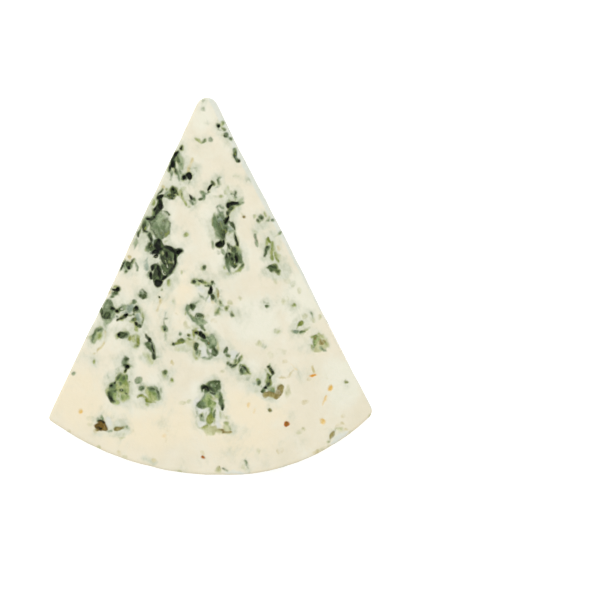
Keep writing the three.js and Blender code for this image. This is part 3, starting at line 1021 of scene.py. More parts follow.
    def middle_top(self) -> None:
        """The mottled group right of the middle line, and the dark knot below it."""
        self.origin = (203, 209)
        self.blots(K.STAIN, (38, 45, 4, 7), (16, 3, 10, 8), (44, 59, 4, 6))
        self.blots(K.BLUE, (26.5, 19.5, 4, 3), (17, 10, 3, 5))
        self.blots(K.UMBER, (40.8, 8.3, 3.4, 2.8))
        self.blots(K.OLIVE, (25, 7, 4, 6), (25, 65, 3.2, 2), (32, 41, 5, 7), (28, 53, 4, 5), (22, 59, 2, 4))
        self.veins(K.OLIVE, (29.5, 64, 36.5, 61, 1.7), (40, 56, 36.5, 60, 1.6), (28, 23, 25, 27, 1))
        self.veins(K.OLIVE, (10, 12, 11, 21, 1, -0.5), (25.5, 34, 28.5, 41, 1.4))
        self.blots(K.SAGE, (12, 14, 6, 16, 8), (17.5, 17, 12, 27), (37, 46, 4, 8))
        self.faint(K.GREEN, (18, 18, 9, 24), (31, 47, 15, 20))
        self.veins(K.SAGE, (10.3, 30.5, 10.3, 39.5, 2.2), (15, 0, 16, 5, 1.4), (19, 41, 21, 45, 1.6))
        self.faint(K.SAGE, (13, 43, 5, 3))
        self.blots(
            K.GREEN, (22.5, 12.5, 5, 7, -20), (25, 4, 4, 5), (19.5, 26, 5, 9), (23, 19, 5, 4),
            (31.8, 41.5, 5.5, 7), (28.5, 48, 6, 9), (24, 50, 3, 12), (34.5, 49, 5, 9), (0.3, 59, 3.2, 5),
            (32.3, 56.5, 4.2, 2.2),
        )
        self.veins(
            K.GREEN, (10.5, 5.5, 9.6, 16, 1.3), (26.5, 12, 32, 21, 2.2, -0.8),
            (25.5, 34.5, 28.8, 40.5, 1.6), (23.5, 53, 26.3, 63, 2.2), (40, 55.5, 37, 59.5, 1.6),
            (24, 20, 17, 31, 1.6),
        )
        self.blots(K.BLACK, (14.3, 7.8, 2.4, 2.8), (17, 35.3, 7.5, 7), (21, 34, 3.4, 8), (27, 45, 3.2, 3.4))
        self.blots(K.BLACK, (33.8, 49.5, 3, 6), (37.5, 53.5, 3, 2), (28.8, 50, 2, 4), (23.6, 48, 1.6, 5))
        self.veins(K.BLACK, (21.5, 25, 21.8, 33, 2.4), (26, 22.5, 30.5, 22, 1.6))
        self.veins(K.BLACK, (31.8, 23.5, 34.8, 36.5, 2.6, 0.3), (26, 8, 22, 16, 2.2), (24, 53, 25, 57, 1.3))
        self.bare((27.5, 28.5, 5.5, 9, -12), (29.6, 54.5, 1.6, 3), (0.5, 61, 2, 2))

    def upper_right(self) -> None:
        """Small marks down the right of the face."""
        self.origin = (241, 211)
        self.blots(K.STAIN, (21, 14, 14, 8), (32, 27, 6, 14), (43, 61, 10, 18), (22, 47, 8, 7))
        self.faint(K.OLIVE, (14, 6, 3, 3), (13, 22, 5, 5), (39, 47, 8, 6), (52.5, 73, 3, 4))
        self.faint(K.PALE, (59, 79, 3, 4), (46, 70, 6, 4), (44, 89, 5, 8), (35, 70, 3, 5))
        self.faint(K.TAN, (38, 37.5, 3, 4))
        self.veins(K.PALE, (0, 2.5, 3, 5.5, 1.6))
        self.blots(K.OLIVE, (25.5, 31.5, 3.5, 8), (31, 39, 3, 9), (30, 46.5, 4, 4))
        self.veins(K.OLIVE, (22.5, 0, 24.5, 5, 1.6), (31.5, 32, 31.5, 42, 3), (34, 43, 37, 52, 3.4))
        self.veins(K.OLIVE, (28, 6, 26.5, 9.5, 1.5), (35, 25.2, 40, 22.8, 1.5))
        self.blots(K.SAGE, (26.2, 9.6, 2.5, 2.2), (30.5, 9.4, 3.2, 2))
        self.veins(
            K.SAGE, (14.5, 24, 14.3, 29, 1.3), (14.6, 29, 16.3, 35.5, 1.1), (38, 23.5, 41, 21.8, 1.6),
        )
        self.veins(K.MOSS, (27.3, 27, 28.6, 32, 2.6, 0.4), (34, 44, 36.5, 51, 2.2), (30.5, 38, 31.5, 44, 2))
        self.blots(K.GREEN, (20.3, 7.5, 3.4, 3.4), (17.5, 10.3, 2.4, 2), (37.3, 61.5, 2.8, 3))
        self.blots(K.GREEN, (28.5, 56, 7, 4.4), (33, 57.2, 7, 5.6, -12), (31, 59, 5, 3))
        self.veins(K.GREEN, (28.5, 36, 23, 43.5, 1.8), (35, 59, 38, 63, 2))
        self.blots(K.BLACK, (20.5, 7.6, 2, 2), (26.6, 36.8, 3.4, 1.9, 28))
        self.veins(K.BLACK, (26, 54.8, 35, 57.5, 1.7, -0.6), (26, 37, 24.6, 39.6, 1.6))

    def leaf(self) -> None:
        """The leaf-shaped patch at the left and the flecks right of it."""
        self.origin = (101, 300)
        self.blots(K.STAIN, (27, 11, 26, 18), (39, 19, 9, 16), (9, 0, 6, 6))
        self.blots(K.BLUE, (29, 8.5, 6, 5), (37.5, 18, 3, 8), (23, 12.5, 8, 2, 15))
        self.blots(K.OLIVE, (34.5, 28.3, 2.4, 3), (29.5, 21.3, 3.5, 2), (42, 16, 2.2, 6), (7, 3, 4, 5))
        self.faint(K.OLIVE, (38, 11, 6, 3), (41, 22, 3, 5))
        self.blots(K.SAGE, (21.5, 7.8, 10, 4.2, 35), (37.3, 11, 4, 3.5), (13, 18.5, 2, 1.6))
        self.blots(K.SAGE, (17, 17.6, 2.2, 1.6), (7.5, 12, 13, 23), (33, 13.5, 5, 2))
        self.veins(K.SAGE, (4.5, 23, 3.8, 31, 2), (39.5, 12, 40.5, 25, 1.2), (36, 16, 38, 24, 1.4))
        self.faint(K.GREEN, (7.5, 11, 10, 20))
        self.blots(K.GREEN, (6.5, 16, 8, 7), (11.5, 10, 5, 5), (32.8, 3, 3.2, 2.8))
        self.blots(K.GREEN, (33, 19.6, 5.5, 2.8, 25), (37.5, 26, 5, 2.2), (35, 9.5, 5, 4))
        self.veins(K.GREEN, (0.2, 10, 2.5, 16.5, 1.4), (21.5, 18, 27.5, 15, 2.2), (27, 15.7, 34, 13.7, 1.1))
        self.veins(K.GREEN, (42, 18, 41.5, 23, 1.1), (29, 5.5, 32, 4, 1), (16, 12, 20, 8.5, 1.6))
        self.blots(K.BLACK, (12, 9.7, 3.4, 1.8), (16.8, 11.7, 3, 2), (25, 14.8, 4.6, 2.4, 15))
        self.blots(K.BLACK, (21.3, 19, 3.4, 2.2), (35.6, 8.3, 4, 3.2), (34.8, 24, 2, 3.6))
        self.veins(K.BLACK, (17, 21, 25.5, 16.3, 1.2))

    def lower_left(self) -> None:
        """Patches between the leaf and the two green pockets."""
        self.origin = (73, 313)
        self.blots(K.STAIN, (73, 45, 18, 12), (62, 27, 12, 14), (76, 32, 5, 12))
        self.veins(K.TAN, (31.4, 18, 31.2, 27, 1.3), (31.2, 27, 29.3, 34, 1.9), (29.3, 34, 25, 38, 1.5))
        self.blots(K.TAN, (20.5, 41, 3.5, 2))
        self.veins(K.UMBER, (30, 29, 29, 34, 1.6))
        self.blots(K.OLIVE, (49.5, 18, 6, 1.8), (55, 20.5, 2.4, 4), (60.5, 26, 4, 7), (63, 33, 5, 3))
        self.blots(K.OLIVE, (24, 21, 8, 17, -32), (22, 48.5, 2.5, 4), (100, 67.5, 3, 4), (80, 43, 2.5, 6))
        self.blots(K.MOSS, (56.8, 25.4, 5, 6.5), (64.8, 29.5, 6, 8))
        self.faint(K.OLIVE, (61.5, 28, 9, 11), (75, 41, 11, 5), (77, 48, 8, 8), (16.5, 25, 5, 3))
        self.blots(K.SAGE, (84.6, 43, 3.2, 2.2), (93.5, 5.5, 4, 3), (0.5, 60.5, 4, 2.2), (95, 64, 4, 2))
        self.blots(K.SAGE, (53, 49, 7, 8), (54.5, 53.5, 9, 5))
        self.veins(K.SAGE, (92.5, 0, 91.5, 5, 1.8), (92, 6, 91.5, 12, 1.5), (91.5, 20, 92, 26, 1.8))
        self.blots(
            K.GREEN, (50.5, 20.6, 11, 5.5), (64.8, 32.2, 2.6, 2), (73.3, 31.3, 3.8, 2.4),
            (91.2, 16, 4.2, 6), (26.5, 17.5, 7, 5, 20), (53, 46.5, 4, 4), (54, 52.5, 5, 3),
            (92.3, 60, 3.5, 6, 10),
        )
        self.veins(K.GREEN, (24, 16, 19, 28, 2.2), (73.3, 22, 76, 27.5, 1.3), (73.5, 33.5, 78, 37.5, 1.6))
        self.veins(K.GREEN, (80.3, 37, 80.8, 45, 1.6))
        self.blots(K.BLACK, (46.3, 21.2, 3.6, 2.8, 20), (76.2, 28, 3, 4), (91.3, 16.8, 2.6, 3))
        self.blots(K.BLACK, (54.8, 54.3, 4.5, 3.6))
        self.veins(K.BLACK, (49, 22.8, 54.5, 22, 1.4), (77.2, 29, 81, 38.5, 2.2, 0.5))
        self.veins(K.BLACK, (18.8, 27, 19.6, 30, 1.6), (53.5, 56, 52.5, 59, 1.4), (45.5, 22.5, 48, 20, 1.6))
        self.bare((76.3, 33, 1.6, 4))

    def green_pocket(self) -> None:
        """The two-lobed green pocket, with painted shadow in black on its left and upper rims."""
        self.origin = (106, 372)
        self.blots(K.STAIN, (12, 18, 26, 32))
        self.faint(K.SAGE, (1, 5, 2.5, 3), (11, 0, 3, 5), (0, 12, 2.5, 3))
        self.blots(K.OLIVE, (18, 17, 11, 24), (15, 7, 7, 8), (18, 27, 6, 6), (7, 16, 10, 12))
        self.veins(K.OLIVE, (11.5, 12, 12.5, 26, 3), (2.3, 16, 1.8, 24, 1.6))
        self.blots(K.FERN, (18.5, 19, 5, 4), (8, 24, 8, 12), (10, 30.3, 5.5, 4), (20.5, 24, 4, 5))
        self.blots(K.FERN, (21, 5.5, 2.5, 4), (16, 25.5, 5, 4), (16, 8, 6, 6))
        self.veins(K.SAGE, (14, 13, 22, 8, 1.2, 0.8), (13, 19, 22, 14, 1.3), (13, 24, 22, 21, 1.2))
        self.blots(
            K.GREEN, (17.5, 6.5, 4.5, 5), (6.3, 14.3, 7, 6.5), (7.6, 18.6, 7, 3), (23.6, 11.3, 2.2, 1.7),
            (15.5, 18.3, 3, 2), (14.8, 11.8, 2.6, 2), (20, 21.5, 3, 2.2), (5, 23, 3, 6),
        )
        self.veins(K.GREEN, (14.8, 3.2, 10.2, 9.8, 2.8), (3.3, 20, 7.8, 30.6, 3, 1.6))
        # painted shadow: the black spots and strokes on the pocket's rims stand for the shade that the rims
        # cast into it
        self.blots(K.BLACK, (9, 11.7, 2, 3), (5, 14, 2.6, 2.4))
        self.veins(K.BLACK, (13.5, 5.5, 11.5, 8.5, 1.9), (3, 22, 7.8, 30.4, 1.8, 1.5))

    def crescent(self) -> None:
        """The pocket under a dark crescent, which is painted shadow of its upper rim, and the sage spots
        right of it.
        """
        self.origin = (138, 371)
        self.blots(K.STAIN, (13, 25, 20, 16))
        self.faint(K.SAGE, (4.5, 14, 3, 2.5), (1, 9, 6, 5))
        self.veins(K.PALE, (7, 14.5, 11, 18, 2))
        self.blots(K.PALE, (14.8, 24, 5, 6))
        self.blots(K.OLIVE, (12, 22.5, 8, 10), (15.5, 28, 10, 6), (19, 25, 4, 9), (8.6, 33.8, 3.2, 2.2))
        self.blots(K.OLIVE, (35, 9.7, 2.6, 4))
        self.blots(K.FERN, (17.5, 21.5, 6, 7), (19.8, 25, 3, 8), (15, 20, 8, 4))
        self.blots(K.SAGE, (4, 17.3, 5.6, 4.8))
        self.veins(K.SAGE, (23.6, 17, 23.2, 22, 1.4), (27, 2, 30, 8, 2.6))
        self.veins(K.MOSS, (0.2, 26.6, 8, 27.5, 2.4, -1.6), (8, 28, 11, 31.3, 2.2))
        self.veins(K.MOSS, (8.5, 31.2, 17, 31.8, 2.4, 0.3))
        # painted shadow: the dark green and black crescent over the pocket's upper right rim
        self.blots(K.GREEN, (3.7, 17.8, 3.4, 2.4), (14.6, 18.6, 7, 3.6))
        self.veins(
            K.GREEN, (11, 17.6, 21, 23, 3, -2.4), (21, 22, 20.6, 28, 1.8), (26.6, 0.5, 27.8, 5.5, 2.3),
        )
        self.blots(K.BLACK, (16.6, 17.8, 4, 1.5, -20))
        self.faint(K.PALE, (44, 32, 6, 3))

    def brown_corner(self) -> None:
        """The brown triangle, with painted shadow at its top, and the rusty marks near the left corner."""
        self.origin = (69, 411)
        self.faint(K.HAZE, (39.5, 12, 4, 10, 20), (23, 9, 5, 6))
        self.faint(K.PALE, (53, 24, 7, 6), (28, 36, 4, 3), (23, 8, 6, 4), (21, 13.5, 3, 3))
        self.veins(K.PALE, (49.5, 25.8, 55.5, 26.2, 2))
        self.faint(K.TAN, (63, 20, 2.5, 5), (0.5, 20.5, 4, 3), (28, 20.5, 7, 4))
        self.veins(K.SAGE, (37, 19.5, 42.5, 20.6, 2), (33, 5.5, 34.2, 9, 1.1), (28.6, 7.5, 29.3, 9.5, 1))
        self.blots(K.SAGE, (57.6, 16, 3, 4))
        self.blots(K.UMBER, (28.5, 19.3, 6, 3.6), (29.5, 14.5, 5, 4), (35.5, 18, 6, 3))
        self.veins(K.UMBER, (46.2, 18.5, 56, 15.7, 2.8))
        # painted shadow: the second black stroke on this line lies over the brown pocket's upper rim
        self.veins(K.BLACK, (47.4, 18.2, 54.6, 16, 1.3), (28.6, 10.4, 34.6, 11, 2, -0.4))
        self.veins(K.BLACK, (28, 16.6, 34, 17.8, 1.1))
        self.blots(K.AMBER, (12, 0.5, 5, 5))
        self.blots(K.BROWN, (29.5, 15.8, 10, 6), (31.8, 11.6, 7, 4.4), (33.5, 15.5, 7, 6))
        self.veins(K.BROWN, (34.6, 10, 38, 18.5, 2.4), (27, 17.5, 37, 19, 2.6))

    def central_pocket(self) -> None:
        """The large pocket low in the middle, from its dark brow, painted shadow under its upper rim, down
        to its pale foot.
        """
        self.origin = (189, 384)
        self.blots(K.STAIN, (20, 24, 26, 40))
        self.blots(
            K.HAZE, (13, 25.5, 9, 5), (28.3, 31, 5, 14), (29.5, 41, 4.5, 8), (7, 18, 7, 8), (13, 40, 8, 8),
        )
        self.blots(K.PALE, (22.5, 46, 14, 9), (38.5, 44, 8, 10), (23, 14.6, 9, 3.4), (37, 48.8, 10, 3))
        self.blots(K.PALE, (30, 47.5, 8, 5))
        self.faint(K.OLIVE, (38.5, 33.5, 4, 2), (0.5, 17.8, 3, 3), (35, 9, 2, 4))
        self.blots(K.OLIVE, (21.5, 35, 7, 12), (21, 19.5, 10, 5), (38.2, 38.7, 5, 2.6), (20.5, 13.2, 7, 3))
        self.veins(K.OLIVE, (7.5, 37, 13, 45.3, 1.6, 1.6), (13, 45.3, 18, 42.5, 1.8))
        self.veins(K.OLIVE, (30.5, 28.5, 31.7, 34.5, 1.5))
        self.blots(K.FERN, (17, 18, 9, 6.5), (28, 10.5, 6, 6), (21.2, 27, 4.6, 10), (30.8, 13, 5, 8))
        self.blots(K.FERN, (23, 19.8, 9, 5), (20, 22.8, 6, 3), (18, 13, 6, 5))
        self.blots(K.SAGE, (32.5, 19.5, 4, 6), (12, 32, 5, 7), (15.8, 7.8, 4, 4), (14, 20.5, 5, 3))
        self.veins(K.SAGE, (15.8, 10, 12.5, 17, 1.8), (7.6, 24, 7.2, 34, 1.2, -0.4))
        self.veins(K.SAGE, (16.5, 28, 15.5, 36, 1.2), (12, 35.8, 17, 36.6, 1.2), (39.5, 39.5, 42, 46, 2))
        self.blots(K.MOSS, (20.6, 34.6, 4.4, 5), (22, 38, 7, 2.6))
        self.veins(K.MOSS, (14, 44.8, 18.5, 41.5, 1.4), (24.8, 36, 26.6, 42, 1.5))
        self.blots(K.BLUE, (32.4, 19.6, 2.6, 4), (9, 21.5, 3, 3))
        # dark mould with painted shadow: the green and black along the pocket's upper and right rims stand
        # for the shade under them
        self.blots(K.GREEN, (24.5, 3, 12, 11), (28.3, 0.5, 5, 6), (19, 5.5, 8, 6), (16.5, 3.4, 8, 4.5))
        self.veins(
            K.GREEN, (30.3, 8, 33.6, 20, 2.8, 0.6), (33.8, 16, 33.5, 25.5, 2.2, 0.5),
            (14.5, 2, 11.8, 7.5, 2.6, 0.8), (11.4, 18.6, 7.8, 22, 1.7), (24.6, 27, 23.8, 33, 1.3),
            (11, 22, 17, 23, 1.6),
        )
        self.veins(K.FERN, (17.5, 23.5, 26, 22.5, 2, 0.4))
        self.veins(K.UMBER, (27, 46.4, 36, 46.9, 1.7), (35, 49, 42, 47.5, 1.3))
        # painted shadow, with dark mould: the black under the pocket's upper and right rims
        self.blots(K.BLACK, (22.7, 9, 5, 2), (12, 30.8, 2.8, 4.6), (33.2, 24.8, 1.6, 1.8))
        self.veins(K.BLACK, (12.5, 4.6, 19, 3.4, 1.5, -0.4), (18, 3, 19.5, 7, 1.5))
        self.islands(K.SAGE, (24.3, 2.3, 6, 3.6))

    def middle_low(self) -> None:
        """The marks above the central pocket, to the right."""
        self.origin = (222, 344)
        self.blots(K.STAIN, (8, 22, 12, 7), (11, 13, 10, 14), (25, 31, 6, 6))
        self.blots(K.HAZE, (12, 11, 9, 9), (16.5, 18, 4, 6))
        self.faint(K.PALE, (1.5, 6, 5, 3), (30.5, 42.5, 5, 2.4), (0, 27.5, 4, 3), (36, 0.5, 5, 2.4))
        self.faint(K.SAGE, (27.5, 34.5, 5, 4), (42.3, 2, 3, 3), (7, 24.5, 8, 2))
        self.blots(K.OLIVE, (21.5, 21.5, 6, 2.8), (36, 35.6, 4, 2.6))
        self.blots(
            K.SAGE, (21.8, 26.4, 4.4, 3), (36.6, 38.3, 6.4, 6), (40, 41.5, 3, 3), (18.5, 21.5, 2.4, 2.4),
        )
        self.veins(K.SAGE, (4.6, 9, 4.8, 18, 1.2, -0.3), (11, 16, 17, 9.5, 1.1), (7, 13, 11, 17, 1.1))
        self.blots(K.BLUE, (32.8, 39.2, 2.6, 3))
        self.blots(K.GREEN, (5.5, 11.5, 3, 2.4), (37, 37.6, 3.6, 3.2), (6.6, 18.8, 2.4, 1.6))
        self.veins(
            K.GREEN, (5, 4.8, 2.7, 9, 2.2), (15.4, 20.5, 19.6, 12.3, 1.9), (10.4, 23, 15.6, 20.6, 2),
            (13, 16.4, 13.4, 19.4, 1.5), (6, 18.4, 10, 21.6, 1.9), (24, 25.5, 28.3, 28.8, 1.9),
            (18.5, 22, 25.5, 25.5, 2.6, -0.4), (18.5, 23, 20.5, 29, 2.4, 0.4), (19.5, 29, 24, 28.6, 2),
        )
        self.veins(K.BLACK, (19, 22.8, 24.5, 25.4, 1.6, -0.4), (19.2, 25.5, 20.8, 28.8, 1.5))
        self.veins(K.BLACK, (24.5, 26, 27, 28, 1.2), (8.6, 20, 10, 21.6, 1.4), (11, 22.8, 15.6, 20.8, 1.2))

    def middle_loop(self) -> None:
        """The looped veins in the middle of the face."""
        self.origin = (186, 280)
        self.blots(
            K.STAIN, (8, 28, 10, 14), (16, 40, 14, 10), (30, 6, 6, 10), (36, 24, 10, 14), (10, 4, 8, 8),
        )
        self.blots(K.HAZE, (15, 10.5, 8, 8), (8.5, 31, 5, 4), (16, 50, 6, 3), (22, 19, 4, 5))
        self.faint(K.TAN, (16, 22.5, 5, 2), (26, 22, 6, 2.4), (27.5, 41, 6, 4))
        self.faint(K.PALE, (43.5, 22, 3, 6), (52.5, 19.5, 4, 2.4), (20, 37, 6, 3), (6, 47, 5, 4))
        self.blots(K.PALE, (16, 3, 5, 1.8))
        self.blots(K.OLIVE, (13, 4.3, 1.8, 2.4), (3, 31.5, 2.4, 3), (9, 37.5, 3, 3), (0.5, 31.5, 2, 4))
        self.veins(K.OLIVE, (30.4, 9, 31.4, 15, 1.5), (33.5, 20, 34.8, 24.5, 2.3))
        self.faint(K.SAGE, (10.8, 6.2, 3.2, 2.6), (34, 11.5, 2.2, 2.6), (34, 15.6, 2, 1.4))
        self.blots(K.SAGE, (14, 41.5, 8, 5), (19, 42.5, 4, 2.2), (7, 28.6, 3.6, 2.8), (12.5, 38.5, 6, 4))
        self.veins(
            K.SAGE, (27.2, 2.5, 29.4, 9.5, 1.2, 0.4), (12, 14.4, 18.5, 18.4, 1.4, 0.8),
            (21.6, 15.6, 18.6, 19.4, 1.3), (14, 21.4, 3, 25.4, 2.4, 0.4), (3, 24.5, 2.4, 33, 3.6, 1),
            (2.6, 32, 14.5, 45, 3.4, 0.8), (35, 25, 38.6, 27.6, 1.9), (40, 30, 44.5, 34, 1.7),
            (32.6, 28, 30, 35.4, 1.9), (33, 29, 43.5, 33.8, 1.1), (29.4, 13, 30.4, 22, 1.3),
        )
        self.blots(
            K.GREEN, (7.8, 2, 4.8, 4.6), (39.7, 28.6, 2.8, 3.2), (46.3, 34.5, 3.4, 2.2, -35),
            (27, 18, 3.4, 2.4, -35), (6.8, 25.5, 4.4, 5.8), (26, 1.8, 2, 2.8), (22.6, 5.2, 3, 2, -20),
            (13.8, 36, 6.6, 4),
        )
        self.veins(
            K.GREEN, (10.5, 0.6, 15, 1.4, 2.2), (14.5, 1.8, 24.3, 3.6, 1.5, -0.8),
            (19.5, 4.8, 23.8, 6.6, 1.4), (33.6, 21, 34.8, 24.4, 1.5), (15, 45, 18.6, 50.2, 1.9, 0.7),
            (31.8, 29.5, 31, 33, 1.4), (4.2, 24.5, 3.6, 30, 1.4), (3.8, 32, 8, 38.5, 1.5),
            (25.8, 3, 24.4, 7, 1.5),
        )
        self.veins(K.UMBER, (31.4, 10.5, 31.4, 19, 1.4, -0.3))
        self.blots(K.BLACK, (8.9, 2.6, 2.6, 2.4), (6.3, 1.2, 1.8, 1.8), (24.7, 11, 2.8, 7))
        self.blots(K.BLACK, (24.2, 13.8, 4.6, 3.4), (6.8, 25.3, 3, 3.8), (16, 35.8, 3.6, 1.9, -12))
        self.veins(K.BLACK, (22.6, 13.4, 21.2, 16, 1.3), (11.6, 0.3, 14, 1.2, 1.3), (20.5, 5, 23, 6, 1.2))

    def middle_vein(self) -> None:
        """The broad vein under the loop, from the left edge of the middle to the right."""
        self.origin = (172, 301)
        self.blots(K.STAIN, (14, 46, 18, 10), (39, 43, 16, 24), (94, 3, 8, 8), (26, 49, 10, 20))
        self.blots(K.HAZE, (31.6, 50.5, 8, 12), (38.6, 50, 4, 4), (48, 55, 6, 5))
        self.faint(
            K.PALE, (18, 44, 14, 8), (12.5, 50, 5, 2.4), (5, 48, 4, 3), (14, 24, 3, 8), (19, 26, 4, 3),
        )
        self.faint(K.TAN, (12.5, 20, 2, 4), (4.5, 14, 2.4, 2.4), (1.2, 61.5, 2.4, 3))
        self.faint(K.OLIVE, (104.8, 30.5, 5, 3.6), (8.5, 47, 5, 3), (17, 40.5, 9, 3))
        self.blots(K.PALE, (45.5, 45, 3, 8), (34.5, 32.5, 5, 2.6))
        self.blots(K.OLIVE, (23, 47, 4, 7), (25, 57.6, 2.8, 4), (0.5, 1.5, 3, 4), (26.5, 37.5, 4, 4))
        self.blots(K.OLIVE, (11, 40.8, 6, 2))
        self.veins(
            K.OLIVE, (21.3, 48, 24.3, 57.5, 1.7, 0.5), (14, 37.5, 20.8, 39, 1.5), (17, 42, 23, 46, 1.4),
        )
        self.blots(K.SAGE, (38.6, 40.5, 12, 15, 15), (42.5, 51, 5.4, 6), (25.5, 50, 3.4, 9))
        self.blots(K.SAGE, (8.6, 33.5, 2.2, 2.2), (35, 40, 6, 8))
        self.veins(K.SAGE, (26.5, 56.8, 36.5, 57.8, 1.4), (42.5, 54.5, 36.5, 57.8, 1.7))
        self.veins(K.SAGE, (91.5, 0.6, 96.5, 1.4, 1.6), (34.5, 45.5, 38.5, 54.5, 1.7, 0.5))
        self.blots(K.MOSS, (24.6, 27.4, 4, 2.4), (16, 34.8, 4.6, 2.6), (9, 40.2, 7, 3.2), (23, 30, 4.4, 3))
        self.veins(K.MOSS, (21, 32.5, 20.8, 39, 1.9), (14, 35, 14.4, 38, 1.3), (14.4, 38, 20, 38.8, 1.4))
        self.veins(K.MOSS, (1.5, 43, 8, 40.5, 1.9))
        self.blots(
            K.GREEN, (1.8, 43, 3, 2.6), (31.6, 39.5, 6, 3.6), (25.6, 44, 3, 2.8), (9, 40.3, 4.4, 1.8),
            (36.6, 41.6, 3, 3), (41.5, 53.5, 4, 2), (95, 5.5, 4, 3, -30),
        )
        self.veins(
            K.GREEN, (41, 45.6, 44, 52, 1.9, -0.5), (27.4, 50.5, 27.6, 54.8, 1.3), (24, 45, 24.5, 52, 1.6),
        )
        self.blots(K.UMBER, (36.7, 41.3, 1.8, 1.8))
        self.blots(K.BLACK, (31.6, 35.2, 6.8, 5.2, -25), (23.2, 31.4, 3.8, 3.2, 25), (28, 32.4, 4.4, 4))
        self.blots(K.BLACK, (16.2, 35, 2, 1.3))

    def right(self) -> None:
        """The five-sided patch and the flecks of the right edge."""
        self.origin = (292, 304)
        self.blots(K.STAIN, (20, 12, 6, 8), (4, 27, 12, 5))
        self.blots(K.HAZE, (20.2, 37.5, 2, 5))
        self.faint(K.PALE, (26.5, 13, 3, 3.4), (12, 13, 3, 3.4), (21, 15.5, 4, 3), (4, 17, 3, 3))
        self.blots(K.PALE, (28, 41.8, 15, 10.5), (26.5, 45, 12, 8.5), (27.8, 34, 6, 8), (23, 36, 6, 10))
        self.veins(K.PALE, (19, 34, 27, 29.8, 3), (29, 30.5, 36.5, 42, 2.4, -0.6))
        self.blots(K.OLIVE, (1.5, 0.8, 4.4, 2.2), (0.3, 27.6, 3, 2), (27.2, 30, 3, 2.6), (24.5, 33.2, 6, 3))
        self.veins(
            K.OLIVE, (11.8, 27, 15.6, 23.4, 1.8), (33.5, 38.5, 36.6, 43.2, 1.8), (27, 29, 31.4, 34.4, 1.5),
            (19.4, 41.5, 20, 45.5, 1.5), (18.4, 34, 21, 32.6, 1.4),
        )
        self.blots(K.SAGE, (3.4, 28.2, 5.4, 3), (19.2, 10, 3, 2.6), (21.6, 43.6, 3, 4))
        self.blots(K.FERN, (23, 37, 3.4, 8), (27, 35.5, 3, 4))
        self.veins(K.SAGE, (19.6, 11, 20.4, 15, 1.3), (28, 44, 34, 47, 1.4))
        self.blots(K.BLUE, (3.4, 28.4, 3.8, 2.2))
        self.blots(K.MOSS, (10.5, 28.4, 3.8, 1.9), (1.4, 1, 3, 1.3))
        self.veins(K.MOSS, (9.4, 18.6, 5, 24.4, 2.2))
        self.veins(K.GREEN, (9.3, 19, 7.6, 21.4, 1.7), (9.2, 28.8, 12, 28.2, 1.2))
        self.blots(K.UMBER, (29.6, 40, 3.4, 2), (28.6, 37.2, 1.8, 2.8), (32.4, 37.8, 1.8, 1.5))
        self.blots(K.UMBER, (23.4, 35.4, 1.4, 2))

    def lower_right(self) -> None:
        """The dark streak, the brown wedge under it and the amber eyes."""
        self.origin = (263, 351)
        self.blots(K.STAIN, (9, 33, 8, 16), (7, 47, 16, 7))
        self.faint(K.PALE, (25, 40, 4, 12), (18, 0.5, 8, 5), (7, 5, 5, 8), (35, 80.6, 3.6, 3))
        self.faint(K.TAN, (21.8, 11.5, 4, 3), (46, 28, 4, 3), (63.8, 25, 3, 3.4), (81, 65, 4, 4))
        self.faint(K.TAN, (77, 73.5, 9, 3, 15), (40, 51, 12, 3), (61, 77, 6, 5), (17, 99.5, 5, 5))
        self.veins(
            K.TAN, (49.6, 15, 50, 21, 1.3), (30, 20, 24, 26.5, 1.3, -0.5), (24, 26.5, 16, 26.5, 1.3, -0.6),
        )
        self.veins(K.AMBER, (27.6, 13.4, 31, 17, 1.5), (64, 46, 59.5, 54, 1.7), (49, 24.2, 53, 24.2, 1.4))
        self.blots(K.PALE, (39.5, 78, 3, 2.4), (17.4, 35.5, 4, 8))
        self.blots(K.OLIVE, (4.4, 28.6, 4.4, 9), (9.5, 37.5, 4, 6), (2, 39, 4, 4), (18, 37.5, 3.4, 6))
        self.veins(K.OLIVE, (3.4, 19, 4.6, 25, 1.8))
        self.blots(K.SAGE, (7, 37.5, 4, 4))
        self.blots(K.MOSS, (6.2, 31.5, 3.4, 6), (83.2, 30.2, 3.4, 3))
        self.veins(K.MOSS, (4.6, 22.4, 7, 27.6, 2.2), (5.8, 15.4, 9.6, 20.6, 2.2))
        self.blots(K.UMBER, (9.5, 43.6, 18, 6), (16, 39.5, 8, 13, -25), (2.5, 44, 6, 6), (13, 46, 8, 4))
        self.blots(K.UMBER, (83.4, 30, 1.8, 1.6), (7.1, 59, 2.2, 2.2))
        self.veins(K.UMBER, (13, 41, 18, 33.5, 3.2))
        self.blots(
            K.GREEN, (9.4, 40.6, 3.6, 4.6), (7.1, 59, 2.6, 2.6), (3.4, 36.2, 4.2, 3), (6, 32.4, 3, 4.4),
        )
        self.veins(K.GREEN, (5.4, 15.6, 10.6, 23.5, 2.2, -0.8), (10.6, 22.5, 7, 27.5, 2.2))
        self.veins(K.GREEN, (4, 36, 0.8, 40.5, 2.2), (4.8, 23.5, 7, 27.5, 1.5), (7.4, 27, 5.8, 34, 2.4))
        self.blots(K.AMBER, (32.2, 17.6, 4.6, 2.8), (59.4, 70.8, 2.8, 4.6), (67.6, 37.6, 5, 8, -14))
        self.blots(K.AMBER, (48.4, 24.3, 6, 3.4))
        self.blots(K.RUST, (47.4, 24.3, 4, 2.8), (50.4, 24.1, 2.6, 1))
        self.blots(K.CLAY, (24.5, 73.2, 4.6, 6.4))
        self.veins(K.BROWN, (24.6, 71, 24.6, 73.6, 1.6))
        self.blots(K.BLACK, (5.9, 15.4, 2.8, 1.5), (7.2, 26.6, 2.4, 2.6), (3.5, 36.3, 2.4, 1.4))
        self.veins(K.BLACK, (9.6, 20, 10.3, 24, 1.2), (6.8, 29.5, 6, 33.5, 1.3))

